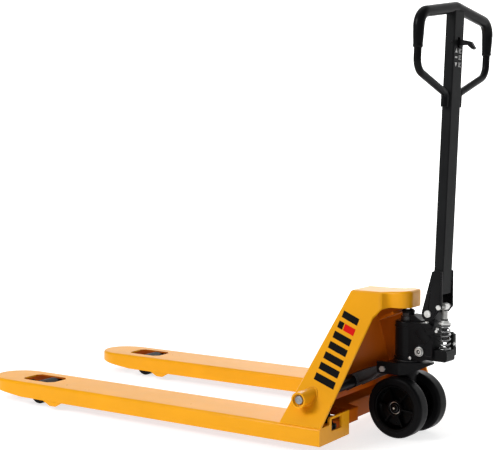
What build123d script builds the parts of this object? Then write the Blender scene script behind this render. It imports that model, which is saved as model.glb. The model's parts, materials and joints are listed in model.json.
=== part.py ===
from build123d import *
from math import asin, atan2, cos, radians, sin, sqrt
import os

# Hand pallet truck. Millimetres, +Z up, floor at Z = 0, +X towards the handle.
# The forks are lowered, and the steering unit stands turned by rest_steer.

# Driving dimensions
overall_width = 685.0
fork_length = 1220.0
fork_width = 160.0
fork_top = 72.0
fork_bottom = 25.0
lift_height = 110.0
heel_x = 476.3
rest_steer = -5.0
running_gap = 0.06

# Forks
sheet = 5.0
nose_length = 100.0
nose_chamfer_start = 160.0
nose_chamfer_rise = 17.0
top_edge_radius = 9.0
fork_y = overall_width / 2 - fork_width / 2
fork_inner_y = fork_y - fork_width / 2
tip_x = heel_x - fork_length
heel_sheet = 6.0
window_length = 126.0
window_width = 82.0
window_x = heel_x - 1032.0
arm_slot_length = 118.0
arm_slot_width = 54.0
rod_y = 252.0
heel_raise_outer = 289.0
heel_raise = 91.0

# Fork frame above the heels
plate = 6.0
head_top = 396.0
head_bottom = 358.0
head_half_width = 54.0
head_rear_radius = 50.0
gusset_length = 52.0
gusset_sheet = 7.0
side_foot_z = 78.1
side_foot_y = overall_width / 2 - 3.5
side_foot_front = heel_x - 125.0
side_foot_rear = heel_x + 4.0
side_top_y = 57.0
side_top_front = heel_x - 66.0
side_top_rear = heel_x + 26.0
side_shoulder_rear = heel_x + 41.0
cross_front = heel_x - 92.0
cross_recess = heel_x - 40.0
cross_bottom = 41.0
cross_end_bottom = 54.0
cross_end_y = 130.0
cross_middle_y = 112.0

# Steering unit
steer_x = heel_x + 85.0
wheel_radius = 84.0
wheel_inner_y = 31.0
wheel_outer_y = 73.0
rim_radius = 64.0
hub_radius = 23.0
bearing_radius = 17.5
axle_radius = 10.0
kingpin_radius = 29.0
yoke_top = 207.0
yoke_bottom = 174.0
yoke_half_width = 62.0
yoke_wall = 6.5
yoke_front = heel_x + 20.0
yoke_rear = heel_x + 160.0
bearing_height = 4.0
pump_bottom = yoke_top + bearing_height
pump_top = 318.0
pump_radius = 36.0
pump_block_rear = 92.0
pump_block_half = 31.0
ram_radius = 12.0
ram_bottom = 214.0
gland_top = 340.0

# Tiller
pivot_x = 79.0
pivot_z = 346.0
roller_x = 112.0
roller_z = 366.0
roller_radius = 10.0
plunger_x = 113.0
plunger_radius = 7.0
plunger_top = roller_z - roller_radius - 1.0
spring_top = 318.0
spring_bottom = 248.0
spring_radius = 16.5
spring_wire = 3.0
cheek_half_width = 33.0
cheek_inner = 27.2
tube_tilt = 2.3
tube_depth = 28.0
tube_width = 53.0
tube_wall = 3.0
tube_rear_x = 120.2
tube_rear_z = 481.0
tube_start = -80.0
tube_end = 671.0
loop_half_width = 188.0
loop_stub = 36.7
loop_foot = 420.0
loop_bend = 456.0
loop_elbow = 511.0
loop_shoulder = 653.0
loop_apex = 682.0
loop_tube_radius = 10.0
grip_radius = 15.0
grip_end = 565.0
lever_along = 590.0
lever_slot_length = 28.0
lever_half_width = 5.0

# Lifting linkage
shaft_x = heel_x - 65.0
shaft_z = 139.0
shaft_radius = 12.5
yoke_pin_x = heel_x + 38.0
yoke_pin_z = 187.0
yoke_pin_radius = 4.5
lower_arm = 93.0
rod_z = 52.0
rod_radius = 9.0
load_x = heel_x - 1026.0
load_radius = 35.0
load_half_width = 38.0
entry_x = heel_x - 1118.0
entry_radius = 18.0
entry_z = 36.0

# Linkage worked out from the lift height
arm_reach = yoke_pin_x - shaft_x
arm_start = atan2(yoke_pin_z - shaft_z, arm_reach)
arm_end = atan2(yoke_pin_z - shaft_z - lift_height, arm_reach)
rocker_turn = arm_start - arm_end
rod_travel = 2 * lower_arm * sin(rocker_turn / 2)
toggle_drop = rod_z - load_radius
toggle_base = (rod_travel**2 + (toggle_drop + lift_height) ** 2 - toggle_drop**2) / (2 * rod_travel)
toggle_length = sqrt(toggle_base**2 + toggle_drop**2)
toggle_start = asin(toggle_drop / toggle_length)
toggle_turn = asin((toggle_drop + lift_height) / toggle_length) - toggle_start
link_x = load_x + toggle_base / 2
link_z = rod_z - toggle_drop / 2
rod_pin_x = load_x + toggle_base
arm_pin_x = shaft_x + lower_arm * sin(rocker_turn / 2)
arm_pin_z = shaft_z - lower_arm * cos(rocker_turn / 2)
rod_slack = toggle_length * cos(toggle_start + toggle_turn / 2) - (toggle_base - rod_travel / 2)

# Planes of the turned steering unit: x rearwards, y to the right, z up
steer = Plane(
    origin=(steer_x, 0, 0),
    x_dir=(cos(radians(rest_steer)), sin(radians(rest_steer)), 0),
    z_dir=(0, 0, 1),
)
steer_mid = Plane(origin=steer.origin, x_dir=steer.x_dir, z_dir=-steer.y_dir)
tiller_axis = steer.from_local_coords((sin(radians(tube_tilt)), 0, cos(radians(tube_tilt)))) - steer.origin
tube_centre = steer.from_local_coords((tube_rear_x - tube_depth / 2, 0, tube_rear_z))
tube_plane = Plane(origin=tube_centre, x_dir=steer.y_dir, z_dir=tiller_axis)
loop_plane = Plane(origin=tube_centre, x_dir=steer.y_dir, z_dir=steer.y_dir.cross(tiller_axis))
lever_plane = Plane(origin=tube_centre, x_dir=loop_plane.z_dir, z_dir=-steer.y_dir)


def steer_side(y):
    """Plane across the steering unit at its own y, with x rearwards and y up."""
    return steer_mid.offset(-y)


def save(piece, name):
    piece.part.label = name
    export_step(piece.part, f"parts/{name}.step")


def save_pair(piece, name, middle):
    """Write a left piece and its mirror image on the right."""
    save(piece, f"{name}_left")
    with BuildPart() as twin:
        mirror(piece.part, about=middle)
    save(twin, f"{name}_right")


os.makedirs("parts", exist_ok=True)

# ---------------------------------------------------------------- forks
fork_span = fork_length - nose_length - heel_sheet
fork_mid_x = tip_x + nose_length + fork_span / 2
nose_x = tip_x + nose_length

with BuildPart() as fork:
    with BuildSketch(Plane.XY.offset(fork_bottom)):
        with Locations((fork_mid_x, -fork_y)):
            Rectangle(fork_span, fork_width)
        with Locations((nose_x, -fork_y)):
            Ellipse(nose_length, fork_width / 2)
    extrude(amount=fork_top - fork_bottom)
    fillet(fork.faces().sort_by(Axis.Z)[-1].edges().filter_by(
        lambda edge: edge.center().X < heel_x - heel_sheet - 1), top_edge_radius)
    with BuildSketch(Plane.XY.offset(fork_bottom)):
        with Locations((fork_mid_x + sheet, -fork_y)):
            Rectangle(fork_span + 2 * sheet, fork_width - 2 * sheet)
        with Locations((nose_x, -fork_y)):
            Ellipse(nose_length - sheet, fork_width / 2 - sheet)
    extrude(amount=fork_top - fork_bottom - sheet, mode=Mode.SUBTRACT)
    with BuildSketch(Plane.XY.offset(fork_bottom)):
        with Locations((window_x, -fork_y)):
            Rectangle(window_length, window_width)
        chamfer(vertices(), 15)
        with Locations((heel_x - arm_slot_length / 2, -rod_y)):
            Rectangle(arm_slot_length, arm_slot_width)
    extrude(amount=fork_top, mode=Mode.SUBTRACT)
    with BuildSketch(Plane.XZ.offset(fork_y)):
        with BuildLine():
            Polyline((tip_x - 1, fork_bottom - 1), (tip_x + nose_chamfer_start, fork_bottom - 1),
                     (tip_x + nose_chamfer_start, fork_bottom),
                     (tip_x - 1, fork_bottom + nose_chamfer_rise), close=True)
        make_face()
    extrude(amount=fork_width, both=True, mode=Mode.SUBTRACT)
save_pair(fork, "fork", Plane.XZ)

with BuildPart() as heel_plates:
    with BuildSketch(Plane.YZ.offset(heel_x - heel_sheet)):
        for side in (-1, 1):
            with Locations((side * fork_y, (fork_top + fork_bottom) / 2)):
                Rectangle(fork_width, fork_top - fork_bottom)
            with Locations((side * (heel_raise_outer + fork_inner_y) / 2, (heel_raise + fork_bottom) / 2)):
                Rectangle(heel_raise_outer - fork_inner_y, heel_raise - fork_bottom)
            with Locations((side * rod_y, 69)):
                Rectangle(arm_slot_width, 32, mode=Mode.SUBTRACT)
    extrude(amount=heel_sheet)
    fillet(heel_plates.edges().filter_by(Axis.X).filter_by(
        lambda edge: edge.center().Z > fork_top - 1 and abs(edge.center().Y) > heel_raise_outer - 1), 6)
save(heel_plates, "heel_plates")

skid_depth = 13.0
with BuildPart() as exit_skids:
    for wall_y in (-fork_y - fork_width / 2 + sheet, -fork_y + fork_width / 2,
                   fork_y - fork_width / 2 + sheet, fork_y + fork_width / 2):
        with BuildSketch(Plane.XZ.offset(-wall_y)):
            with BuildLine():
                Polyline((heel_x - 966, fork_bottom - 0.2), (heel_x - 940, fork_bottom - skid_depth),
                         (heel_x - 916, fork_bottom - skid_depth), (heel_x - 893, fork_bottom - 0.2),
                         close=True)
            make_face()
            fillet(vertices().group_by(Axis.Y)[0], 9)
        extrude(amount=sheet)
save(exit_skids, "exit_skids")

# ---------------------------------------------------------------- fork frame
slope_y = side_foot_y - side_top_y
slope_z = head_top - side_foot_z
side_plane = Plane(
    origin=(0, -side_foot_y, side_foot_z),
    x_dir=(1, 0, 0),
    z_dir=(0, -slope_z, slope_y),
)
slope_length = sqrt(slope_y**2 + slope_z**2)
shoulder = slope_length * (head_bottom - side_foot_z) / slope_z
boss_radius = 21.0

with BuildPart() as side_plate:
    with BuildSketch(side_plane):
        with BuildLine():
            Polyline((side_foot_front + plate + 0.5, 0), (side_foot_rear, 0),
                     (side_shoulder_rear, shoulder), (side_top_rear, slope_length - 1),
                     (side_top_front + plate + 0.5, slope_length - 1), close=True)
        make_face()
        fillet(vertices().sort_by(Axis.Y)[2:3], 12)
    extrude(amount=-plate)
    with Locations(Plane.XZ.offset(fork_y)):
        with Locations((shaft_x, shaft_z)):
            Cylinder(boss_radius + 0.2, fork_width, mode=Mode.SUBTRACT)
    with BuildSketch(Plane.XY.offset(head_top - 6.3)):
        with Locations((side_top_rear, -side_top_y)):
            Rectangle(400, 200)
    extrude(amount=20, mode=Mode.SUBTRACT)
save_pair(side_plate, "side_plate", Plane.XZ)

front_lean = (side_top_front - side_foot_front) / slope_z
front_plane = Plane(
    origin=(side_foot_front, 0, side_foot_z),
    x_dir=(0, 1, 0),
    z_dir=(1, 0, -front_lean),
)
front_height = slope_z * sqrt(1 + front_lean**2)
skirt_depth = 36.0
with BuildPart() as front_plate:
    with BuildSketch(front_plane):
        with BuildLine():
            Polyline((-side_foot_y, 0), (-side_top_y, front_height - 7), (side_top_y, front_height - 7),
                     (side_foot_y, 0), (fork_y - fork_width / 2 - 1, 0),
                     (fork_y - fork_width / 2 - 1, -skirt_depth),
                     (-fork_y + fork_width / 2 + 1, -skirt_depth), (-fork_y + fork_width / 2 + 1, 0),
                     close=True)
        make_face()
    extrude(amount=plate)
save(front_plate, "front_plate")

head_front = side_top_front - 1
head_rear = heel_x + 114.0
with BuildPart() as top_plate:
    with BuildSketch(Plane.XY.offset(head_top - plate)):
        with Locations(((head_front + head_rear) / 2, 0)):
            Rectangle(head_rear - head_front, 2 * head_half_width + 4)
        fillet(vertices().group_by(Axis.X)[-1], head_rear_radius)
    extrude(amount=plate)
    fillet(top_plate.faces().sort_by(Axis.Z)[-1].edges(), 3)
save(top_plate, "top_plate")

nose_front = heel_x + 12.0
with BuildPart() as pump_head:
    with BuildSketch(Plane.XY.offset(head_bottom)):
        with Locations(((nose_front + head_rear) / 2, 0)):
            Rectangle(head_rear - nose_front, 2 * head_half_width)
        fillet(vertices().group_by(Axis.X)[-1], head_rear_radius)
    extrude(amount=head_top - plate - head_bottom - 0.2)
    with BuildSketch(Plane.XY.offset(head_bottom)):
        with Locations(((nose_front + head_rear) / 2 - plate, 0)):
            Rectangle(head_rear - nose_front, 2 * head_half_width - 2 * plate)
        fillet(vertices().group_by(Axis.X)[-1], head_rear_radius - plate)
    extrude(amount=head_top, mode=Mode.SUBTRACT)
    with BuildSketch(Plane.XZ):
        with BuildLine():
            Polyline((nose_front - 1, head_bottom - 1), (head_rear + 1, head_bottom - 1),
                     (head_rear + 1, head_bottom + 8), (heel_x + 70, head_bottom), close=True)
        make_face()
    extrude(amount=head_half_width * 2, both=True, mode=Mode.SUBTRACT)
save(pump_head, "pump_head")

gusset_plane = Plane(origin=(heel_x + 16, 0, 324), x_dir=(66, 0, 31), z_dir=(-31, 0, 66))
with BuildPart() as head_gusset:
    with BuildSketch(gusset_plane):
        with Locations((gusset_length / 2, 0)):
            Rectangle(gusset_length, 2 * head_half_width)
    extrude(amount=-gusset_sheet)
save(head_gusset, "head_gusset")

with BuildPart() as head_socket:
    with BuildSketch(steer.offset(head_bottom + 10)):
        Circle(20)
    extrude(amount=head_top - plate - head_bottom - 10.2)
    with BuildSketch(steer.offset(head_bottom + 10)):
        Circle(ram_radius + 0.1)
    extrude(amount=10, mode=Mode.SUBTRACT)
save(head_socket, "head_socket")

with BuildPart() as lift_ram:
    with BuildSketch(steer.offset(ram_bottom)):
        Circle(ram_radius)
    extrude(amount=head_bottom + 19.8 - ram_bottom)
    chamfer(lift_ram.edges().sort_by(Axis.Z)[-1], 3)
save(lift_ram, "lift_ram")

with BuildPart() as cross_member:
    with BuildSketch(Plane.XY.offset(cross_end_bottom)):
        with BuildLine():
            Polyline((cross_front, -fork_inner_y + 0.5), (heel_x, -fork_inner_y + 0.5),
                     (heel_x, -cross_end_y), (cross_recess, -cross_middle_y),
                     (cross_recess, cross_middle_y), (heel_x, cross_end_y),
                     (heel_x, fork_inner_y - 0.5), (cross_front, fork_inner_y - 0.5), close=True)
        make_face()
    extrude(amount=heel_raise - cross_end_bottom)
    fillet(cross_member.edges().filter_by(Axis.Z).filter_by(
        lambda edge: edge.center().X > cross_recess - 1 and abs(edge.center().Y) < cross_end_y + 1), 5)
    with BuildSketch(Plane.XY.offset(cross_bottom)):
        with Locations(((cross_front + cross_recess) / 2, 0)):
            Rectangle(cross_recess - cross_front, 2 * cross_middle_y)
    extrude(amount=cross_end_bottom - cross_bottom + 1)
    fillet(cross_member.faces().sort_by(Axis.Z)[-1].edges().filter_by(
        lambda edge: edge.center().X > cross_front + 1 and abs(edge.center().Y) < fork_inner_y - 1), 4)
    with BuildSketch(Plane.XY.offset(cross_bottom)):
        with BuildLine():
            Polyline((cross_front - 1, -fork_inner_y - 1), (heel_x - plate, -fork_inner_y - 1),
                     (heel_x - plate, -cross_end_y - 4), (cross_recess - plate, -cross_middle_y - 4),
                     (cross_recess - plate, cross_middle_y + 4), (heel_x - plate, cross_end_y + 4),
                     (heel_x - plate, fork_inner_y + 1), (cross_front - 1, fork_inner_y + 1), close=True)
        make_face()
    extrude(amount=heel_raise - plate - cross_bottom, mode=Mode.SUBTRACT)
save(cross_member, "cross_member")

boss_outer = overall_width / 2 - 0.5
boss_inner = 262.0
with BuildPart() as shaft_bosses:
    for side in (-1, 1):
        with BuildSketch(Plane.XZ.offset(boss_inner if side < 0 else -boss_outer)):
            with Locations((shaft_x, shaft_z)):
                Circle(boss_radius)
                Circle(shaft_radius + running_gap, mode=Mode.SUBTRACT)
        extrude(amount=boss_outer - boss_inner)
    for side in (-1, 1):
        with BuildSketch(Plane.XZ.offset(-side * boss_outer)):
            with Locations((shaft_x, shaft_z)):
                Circle(shaft_radius + 4)
        extrude(amount=7 * side, mode=Mode.SUBTRACT)
save(shaft_bosses, "shaft_bosses")

toggle_pin_radius = 6.0
toggle_inner = 49.5
toggle_outer = 55.5
with BuildPart() as tip_pins:
    for side in (-1, 1):
        for wall in (-1, 1):
            near = side * fork_y + wall * (toggle_inner + 0.2)
            far = side * fork_y + wall * (fork_width / 2 - sheet - 0.1)
            with BuildSketch(Plane.XZ.offset(-near)):
                with Locations((load_x, rod_z)):
                    Circle(toggle_pin_radius)
            extrude(amount=near - far)
        with BuildSketch(Plane.XZ.offset(-side * fork_y)):
            with Locations((entry_x, entry_z)):
                Circle(5)
        extrude(amount=fork_width / 2 - sheet - 0.1, both=True)
save(tip_pins, "tip_pins")

entry_y = fork_y - 24.0
with BuildPart() as entry_roller:
    with BuildSketch(Plane.XZ.offset(entry_y)):
        with Locations((entry_x, entry_z)):
            Circle(entry_radius)
            Circle(5 + running_gap, mode=Mode.SUBTRACT)
    extrude(amount=15, both=True)
    chamfer(entry_roller.edges().filter_by(GeomType.CIRCLE).sort_by(SortBy.RADIUS)[-2:], 2)
save_pair(entry_roller, "entry_roller", Plane.XZ)

# ---------------------------------------------------------------- rocker
rocker_tube_half = 238.0
lower_arm_half = 7.0
with BuildPart() as torsion_shaft:
    with BuildSketch(Plane.XZ):
        with Locations((shaft_x, shaft_z)):
            Circle(shaft_radius)
    extrude(amount=boss_outer - 3.5, both=True)
    chamfer(torsion_shaft.edges().filter_by(GeomType.CIRCLE), 2)
save(torsion_shaft, "torsion_shaft")

with BuildPart() as rocker_tube:
    with BuildSketch(Plane.XZ):
        with Locations((shaft_x, shaft_z)):
            Circle(18)
            Circle(shaft_radius + 0.05, mode=Mode.SUBTRACT)
    extrude(amount=rocker_tube_half, both=True)
save(rocker_tube, "rocker_tube")

arm_far = arm_reach / cos(arm_end)
arm_plane = Plane(origin=(shaft_x, 0, shaft_z), x_dir=(cos(arm_start), 0, sin(arm_start)), z_dir=(0, -1, 0))
arm_outer = 53.4
arm_width = 14.0
arm_web = 5.0
slot_half = yoke_pin_radius + 2.0
slot_drop = 1.2
with BuildPart() as lift_arms:
    for side in (-1, 1):
        outer_face = arm_outer if side < 0 else -arm_outer + arm_width
        with BuildSketch(arm_plane.offset(outer_face)):
            with BuildLine():
                Polyline((-24, -21), (62, -16.5), (90, -9.6), (arm_far + 4, -11), (arm_far + 9, -1),
                         (arm_far + 4, 9), (98, 12.5), (-24, 21), close=True)
            make_face()
            fillet(vertices().group_by(Axis.X)[-1], 6)
            with Locations((0, 0)):
                Circle(18.1, mode=Mode.SUBTRACT)
        extrude(amount=-arm_width)
        with BuildSketch(arm_plane.offset(outer_face - (0 if side < 0 else arm_web))):
            with BuildLine():
                Polyline((20, -12.5), (62, -11.5), (86, -5), (86, 8.5), (20, 12.5), close=True)
            make_face()
        extrude(amount=-arm_width + arm_web, mode=Mode.SUBTRACT)
        with BuildSketch(arm_plane.offset(outer_face + 1)):
            with Locations(((arm_reach + arm_far) / 2, -slot_drop)):
                SlotOverall(arm_far - arm_reach + 2 * slot_half, 2 * slot_half)
        extrude(amount=-arm_width - 2, mode=Mode.SUBTRACT)
save(lift_arms, "lift_arms")

with BuildPart() as lower_arms:
    for side in (-1, 1):
        with BuildSketch(Plane.XZ.offset(-side * rod_y)):
            with Locations((shaft_x, shaft_z)):
                Circle(20)
            with Locations((arm_pin_x, arm_pin_z)):
                Circle(11)
            make_hull()
            with Locations((shaft_x, shaft_z)):
                Circle(shaft_radius + 0.05, mode=Mode.SUBTRACT)
            with Locations((arm_pin_x, arm_pin_z)):
                Circle(6.0, mode=Mode.SUBTRACT)
        extrude(amount=lower_arm_half, both=True)
save(lower_arms, "lower_arms")

clevis_half = 14.0
with BuildPart() as rocker_pins:
    for side in (-1, 1):
        with BuildSketch(Plane.XZ.offset(-side * rod_y)):
            with Locations((arm_pin_x, arm_pin_z)):
                Circle(5.95)
        extrude(amount=clevis_half + 3, both=True)
save(rocker_pins, "rocker_pins")

# ---------------------------------------------------------------- push rods
rod_rear = arm_pin_x + 13
rod_slot_mid = (arm_pin_z + shaft_z - lower_arm) / 2
rod_slot_length = (arm_pin_z - shaft_z + lower_arm) + 2 * 6.6
rod_end_length = 52.0
with BuildPart() as push_rod:
    with BuildSketch(Plane.YZ.offset(rod_pin_x + rod_slack + 12)):
        with Locations((-rod_y, rod_z)):
            Circle(rod_radius)
    extrude(amount=rod_rear - rod_end_length - rod_pin_x - rod_slack - 10)
    with BuildSketch(Plane.XZ.offset(rod_y)):
        with Locations((rod_rear - rod_end_length / 2, rod_z)):
            Rectangle(rod_end_length, 27)
        fillet(vertices(), 4)
    extrude(amount=clevis_half, both=True)
    with BuildSketch(Plane.XZ.offset(rod_y)):
        with Locations((rod_rear - 20, rod_z)):
            Rectangle(41, 40)
    extrude(amount=lower_arm_half + 0.4, both=True, mode=Mode.SUBTRACT)
    with BuildSketch(Plane.XZ.offset(rod_y)):
        with Locations((arm_pin_x, rod_slot_mid)):
            SlotOverall(rod_slot_length, 13.8, rotation=90)
    extrude(amount=clevis_half + 1, both=True, mode=Mode.SUBTRACT)
    with BuildSketch(Plane.XZ.offset(rod_y)):
        with Locations((rod_pin_x + rod_slack / 2, rod_z)):
            SlotOverall(rod_slack + 28, 23)
            SlotOverall(rod_slack + 13.2, 13.2, mode=Mode.SUBTRACT)
    extrude(amount=10, both=True)
save_pair(push_rod, "push_rod", Plane.XZ)

# ---------------------------------------------------------------- load wheels
with BuildPart() as toggle_link:
    for wall in (-1, 1):
        face = fork_y + wall * (toggle_inner + toggle_outer) / 2
        with BuildSketch(Plane.XZ.offset(face)):
            with Locations((load_x, rod_z), (link_x, link_z)):
                Circle(11)
            make_hull()
            with Locations((load_x, rod_z), (link_x, link_z)):
                Circle(toggle_pin_radius + running_gap, mode=Mode.SUBTRACT)
        extrude(amount=(toggle_outer - toggle_inner) / 2, both=True)
save_pair(toggle_link, "toggle_link", Plane.XZ)

frame_inner = 42.0
frame_outer = 48.5
with BuildPart() as wheel_frame:
    for wall in (-1, 1):
        face = fork_y + wall * (frame_inner + frame_outer) / 2
        with BuildSketch(Plane.XZ.offset(face)):
            with Locations((rod_pin_x, rod_z), (link_x, link_z)):
                Circle(12)
            with Locations((load_x, load_radius)):
                Circle(14)
            make_hull()
            with Locations((rod_pin_x, rod_z), (link_x, link_z)):
                Circle(toggle_pin_radius, mode=Mode.SUBTRACT)
            with Locations((load_x, load_radius)):
                Circle(10, mode=Mode.SUBTRACT)
        extrude(amount=(frame_outer - frame_inner) / 2, both=True)
    with BuildSketch(Plane.XZ.offset(fork_y)):
        with Locations((link_x - 1, link_z)):
            Rectangle(18, 10)
    extrude(amount=frame_inner + 1, both=True)
save_pair(wheel_frame, "wheel_frame", Plane.XZ)

with BuildPart() as frame_pins:
    with BuildSketch(Plane.XZ.offset(fork_y)):
        with Locations((rod_pin_x, rod_z)):
            Circle(toggle_pin_radius - 0.05)
        with Locations((load_x, load_radius)):
            Circle(9.95)
    extrude(amount=frame_outer, both=True)
    for wall in (-1, 1):
        with BuildSketch(Plane.XZ.offset(fork_y + wall * (frame_inner + 1.2))):
            with Locations((link_x, link_z)):
                Circle(toggle_pin_radius - 0.05)
        extrude(amount=wall * (toggle_outer - frame_inner))
save_pair(frame_pins, "frame_pins", Plane.XZ)

with BuildPart() as load_roller:
    with BuildSketch(Plane.XZ.offset(fork_y)):
        with Locations((load_x, load_radius)):
            Circle(load_radius)
            Circle(9.95 + running_gap, mode=Mode.SUBTRACT)
    extrude(amount=load_half_width, both=True)
    chamfer(load_roller.edges().filter_by(GeomType.CIRCLE).sort_by(SortBy.RADIUS)[-2:], 3)
    with BuildSketch(Plane.XZ.offset(fork_y - load_half_width)):
        with Locations((load_x, load_radius)):
            Circle(24)
            Circle(16, mode=Mode.SUBTRACT)
    extrude(amount=4, mode=Mode.SUBTRACT)
    with BuildSketch(Plane.XZ.offset(fork_y + load_half_width)):
        with Locations((load_x, load_radius)):
            Circle(24)
            Circle(16, mode=Mode.SUBTRACT)
    extrude(amount=-4, mode=Mode.SUBTRACT)
save_pair(load_roller, "load_roller", Plane.XZ)

# ---------------------------------------------------------------- steering carriage
yoke_bend = heel_x + 86.0
with BuildPart() as base_yoke:
    with BuildSketch(Plane.XY.offset(yoke_bottom)):
        with BuildLine():
            Polyline((yoke_front, -yoke_half_width), (yoke_bend, -yoke_half_width), (yoke_rear, -10),
                     (yoke_rear, 10), (yoke_bend, yoke_half_width), (yoke_front, yoke_half_width),
                     close=True)
        make_face()
        fillet(vertices().filter_by(lambda corner: corner.X > yoke_front + 1), 9)
    extrude(amount=yoke_top - yoke_bottom)
    with BuildSketch(Plane.XY.offset(yoke_bottom)):
        with BuildLine():
            Polyline((yoke_front - 1, -yoke_half_width + yoke_wall),
                     (yoke_bend - 2, -yoke_half_width + yoke_wall),
                     (yoke_rear - 9, -6), (yoke_rear - 9, 6), (yoke_bend - 2, yoke_half_width - yoke_wall),
                     (yoke_front - 1, yoke_half_width - yoke_wall), close=True)
        make_face()
    extrude(amount=yoke_top - yoke_bottom - yoke_wall, mode=Mode.SUBTRACT)
    with BuildSketch(Plane.XZ):
        with BuildLine():
            Polyline((yoke_bend + 12, yoke_bottom - 1), (yoke_rear + 1, yoke_bottom - 1),
                     (yoke_rear + 1, yoke_top - 5), close=True)
        make_face()
    extrude(amount=yoke_half_width + 1, both=True, mode=Mode.SUBTRACT)
    with BuildSketch(Plane.XY.offset(yoke_bottom)):
        with Locations((steer_x, 0)):
            Circle(kingpin_radius + running_gap)
    extrude(amount=yoke_top, mode=Mode.SUBTRACT)
    with BuildSketch(Plane.XY.offset(yoke_bottom)):
        with Locations((yoke_front + 10, 0)):
            Rectangle(40, 2 * (yoke_half_width - yoke_wall))
    extrude(amount=yoke_top, mode=Mode.SUBTRACT)
    with BuildSketch(Plane.XZ):
        with Locations((yoke_pin_x, yoke_pin_z)):
            Circle(yoke_pin_radius)
    extrude(amount=yoke_half_width + 1, both=True, mode=Mode.SUBTRACT)
save(base_yoke, "base_yoke")

with BuildPart() as yoke_pins:
    for side in (-1, 1):
        with BuildSketch(Plane.XZ.offset(-side * 38)):
            with Locations((yoke_pin_x, yoke_pin_z)):
                Circle(yoke_pin_radius - 0.05)
        extrude(amount=-side * (yoke_half_width - 38 + 1))
        with BuildSketch(Plane.XZ.offset(-side * (yoke_half_width + 0.1))):
            with Locations((yoke_pin_x, yoke_pin_z)):
                RegularPolygon(8.5, 6)
        extrude(amount=-side * 6)
save(yoke_pins, "yoke_pins")

with BuildPart() as thrust_bearing:
    with BuildSketch(Plane.XY.offset(yoke_top)):
        with Locations((steer_x, 0)):
            Circle(41)
            Circle(kingpin_radius + 0.5, mode=Mode.SUBTRACT)
    extrude(amount=bearing_height - 0.1)
save(thrust_bearing, "thrust_bearing")

# ---------------------------------------------------------------- steering unit
housing_half = 28.0
with BuildPart() as axle_housing:
    with BuildSketch(steer.offset(yoke_bottom - 5)):
        Circle(kingpin_radius)
    extrude(amount=pump_bottom - yoke_bottom + 5)
    with BuildSketch(steer.offset(yoke_bottom - 5)):
        Circle(24)
    with BuildSketch(steer.offset(wheel_radius + 8)):
        RectangleRounded(36, 50, 12)
    loft()
    with BuildSketch(steer_mid):
        with Locations((0, wheel_radius)):
            Circle(24)
    extrude(amount=housing_half, both=True)
    with BuildSketch(steer_mid):
        with Locations((0, wheel_radius)):
            Circle(axle_radius + 0.05)
    extrude(amount=housing_half + 1, both=True, mode=Mode.SUBTRACT)
save(axle_housing, "axle_housing")

with BuildPart() as steer_axle:
    with BuildSketch(steer_mid):
        with Locations((0, wheel_radius)):
            Circle(axle_radius)
    extrude(amount=wheel_outer_y - 1, both=True)
    chamfer(steer_axle.edges().filter_by(GeomType.CIRCLE), 1.5)
save(steer_axle, "steer_axle")

with BuildPart() as axle_rings:
    for side in (-1, 1):
        with BuildSketch(steer_side(side * (wheel_outer_y - 5.5))):
            with Locations((0, wheel_radius)):
                Circle(14)
                Circle(axle_radius + 0.05, mode=Mode.SUBTRACT)
        extrude(amount=-side * 2)
save(axle_rings, "axle_rings")

spoke_count = 6
with BuildPart() as wheel_rim:
    with BuildSketch(steer_side(-wheel_inner_y - 1)):
        with Locations((0, wheel_radius)):
            Circle(rim_radius - 0.05)
            Circle(rim_radius - 8, mode=Mode.SUBTRACT)
            Circle(hub_radius)
            Circle(bearing_radius + 0.05, mode=Mode.SUBTRACT)
    extrude(amount=wheel_outer_y - wheel_inner_y - 2)
    with BuildSketch(steer_side(-(wheel_outer_y + wheel_inner_y) / 2)):
        with Locations((0, wheel_radius)):
            with PolarLocations((rim_radius + hub_radius - 4) / 2, spoke_count, start_angle=7):
                Rectangle(rim_radius - hub_radius, 5)
    extrude(amount=14, both=True)
    with BuildSketch(steer_side(-(wheel_outer_y + wheel_inner_y) / 2)):
        with Locations((0, wheel_radius)):
            Circle(rim_radius - 4)
    extrude(amount=3, both=True)
    with BuildSketch(steer_side(-(wheel_outer_y + wheel_inner_y) / 2)):
        with Locations((0, wheel_radius)):
            Circle(bearing_radius + 0.05)
    extrude(amount=30, both=True, mode=Mode.SUBTRACT)
save_pair(wheel_rim, "wheel_rim", steer_mid)

with BuildPart() as tyre:
    with BuildSketch(steer_side(-wheel_inner_y)):
        with Locations((0, wheel_radius)):
            Circle(wheel_radius)
            Circle(rim_radius, mode=Mode.SUBTRACT)
    extrude(amount=wheel_outer_y - wheel_inner_y)
    fillet(tyre.edges().filter_by(GeomType.CIRCLE).sort_by(SortBy.RADIUS)[-2:], 6)
save_pair(tyre, "tyre", steer_mid)

with BuildPart() as wheel_bearings:
    for place in (wheel_inner_y + 1, wheel_outer_y - 18):
        with BuildSketch(steer_side(-place)):
            with Locations((0, wheel_radius)):
                Circle(bearing_radius)
                Circle(axle_radius + running_gap, mode=Mode.SUBTRACT)
        extrude(amount=12)
save_pair(wheel_bearings, "wheel_bearings", steer_mid)

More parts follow.
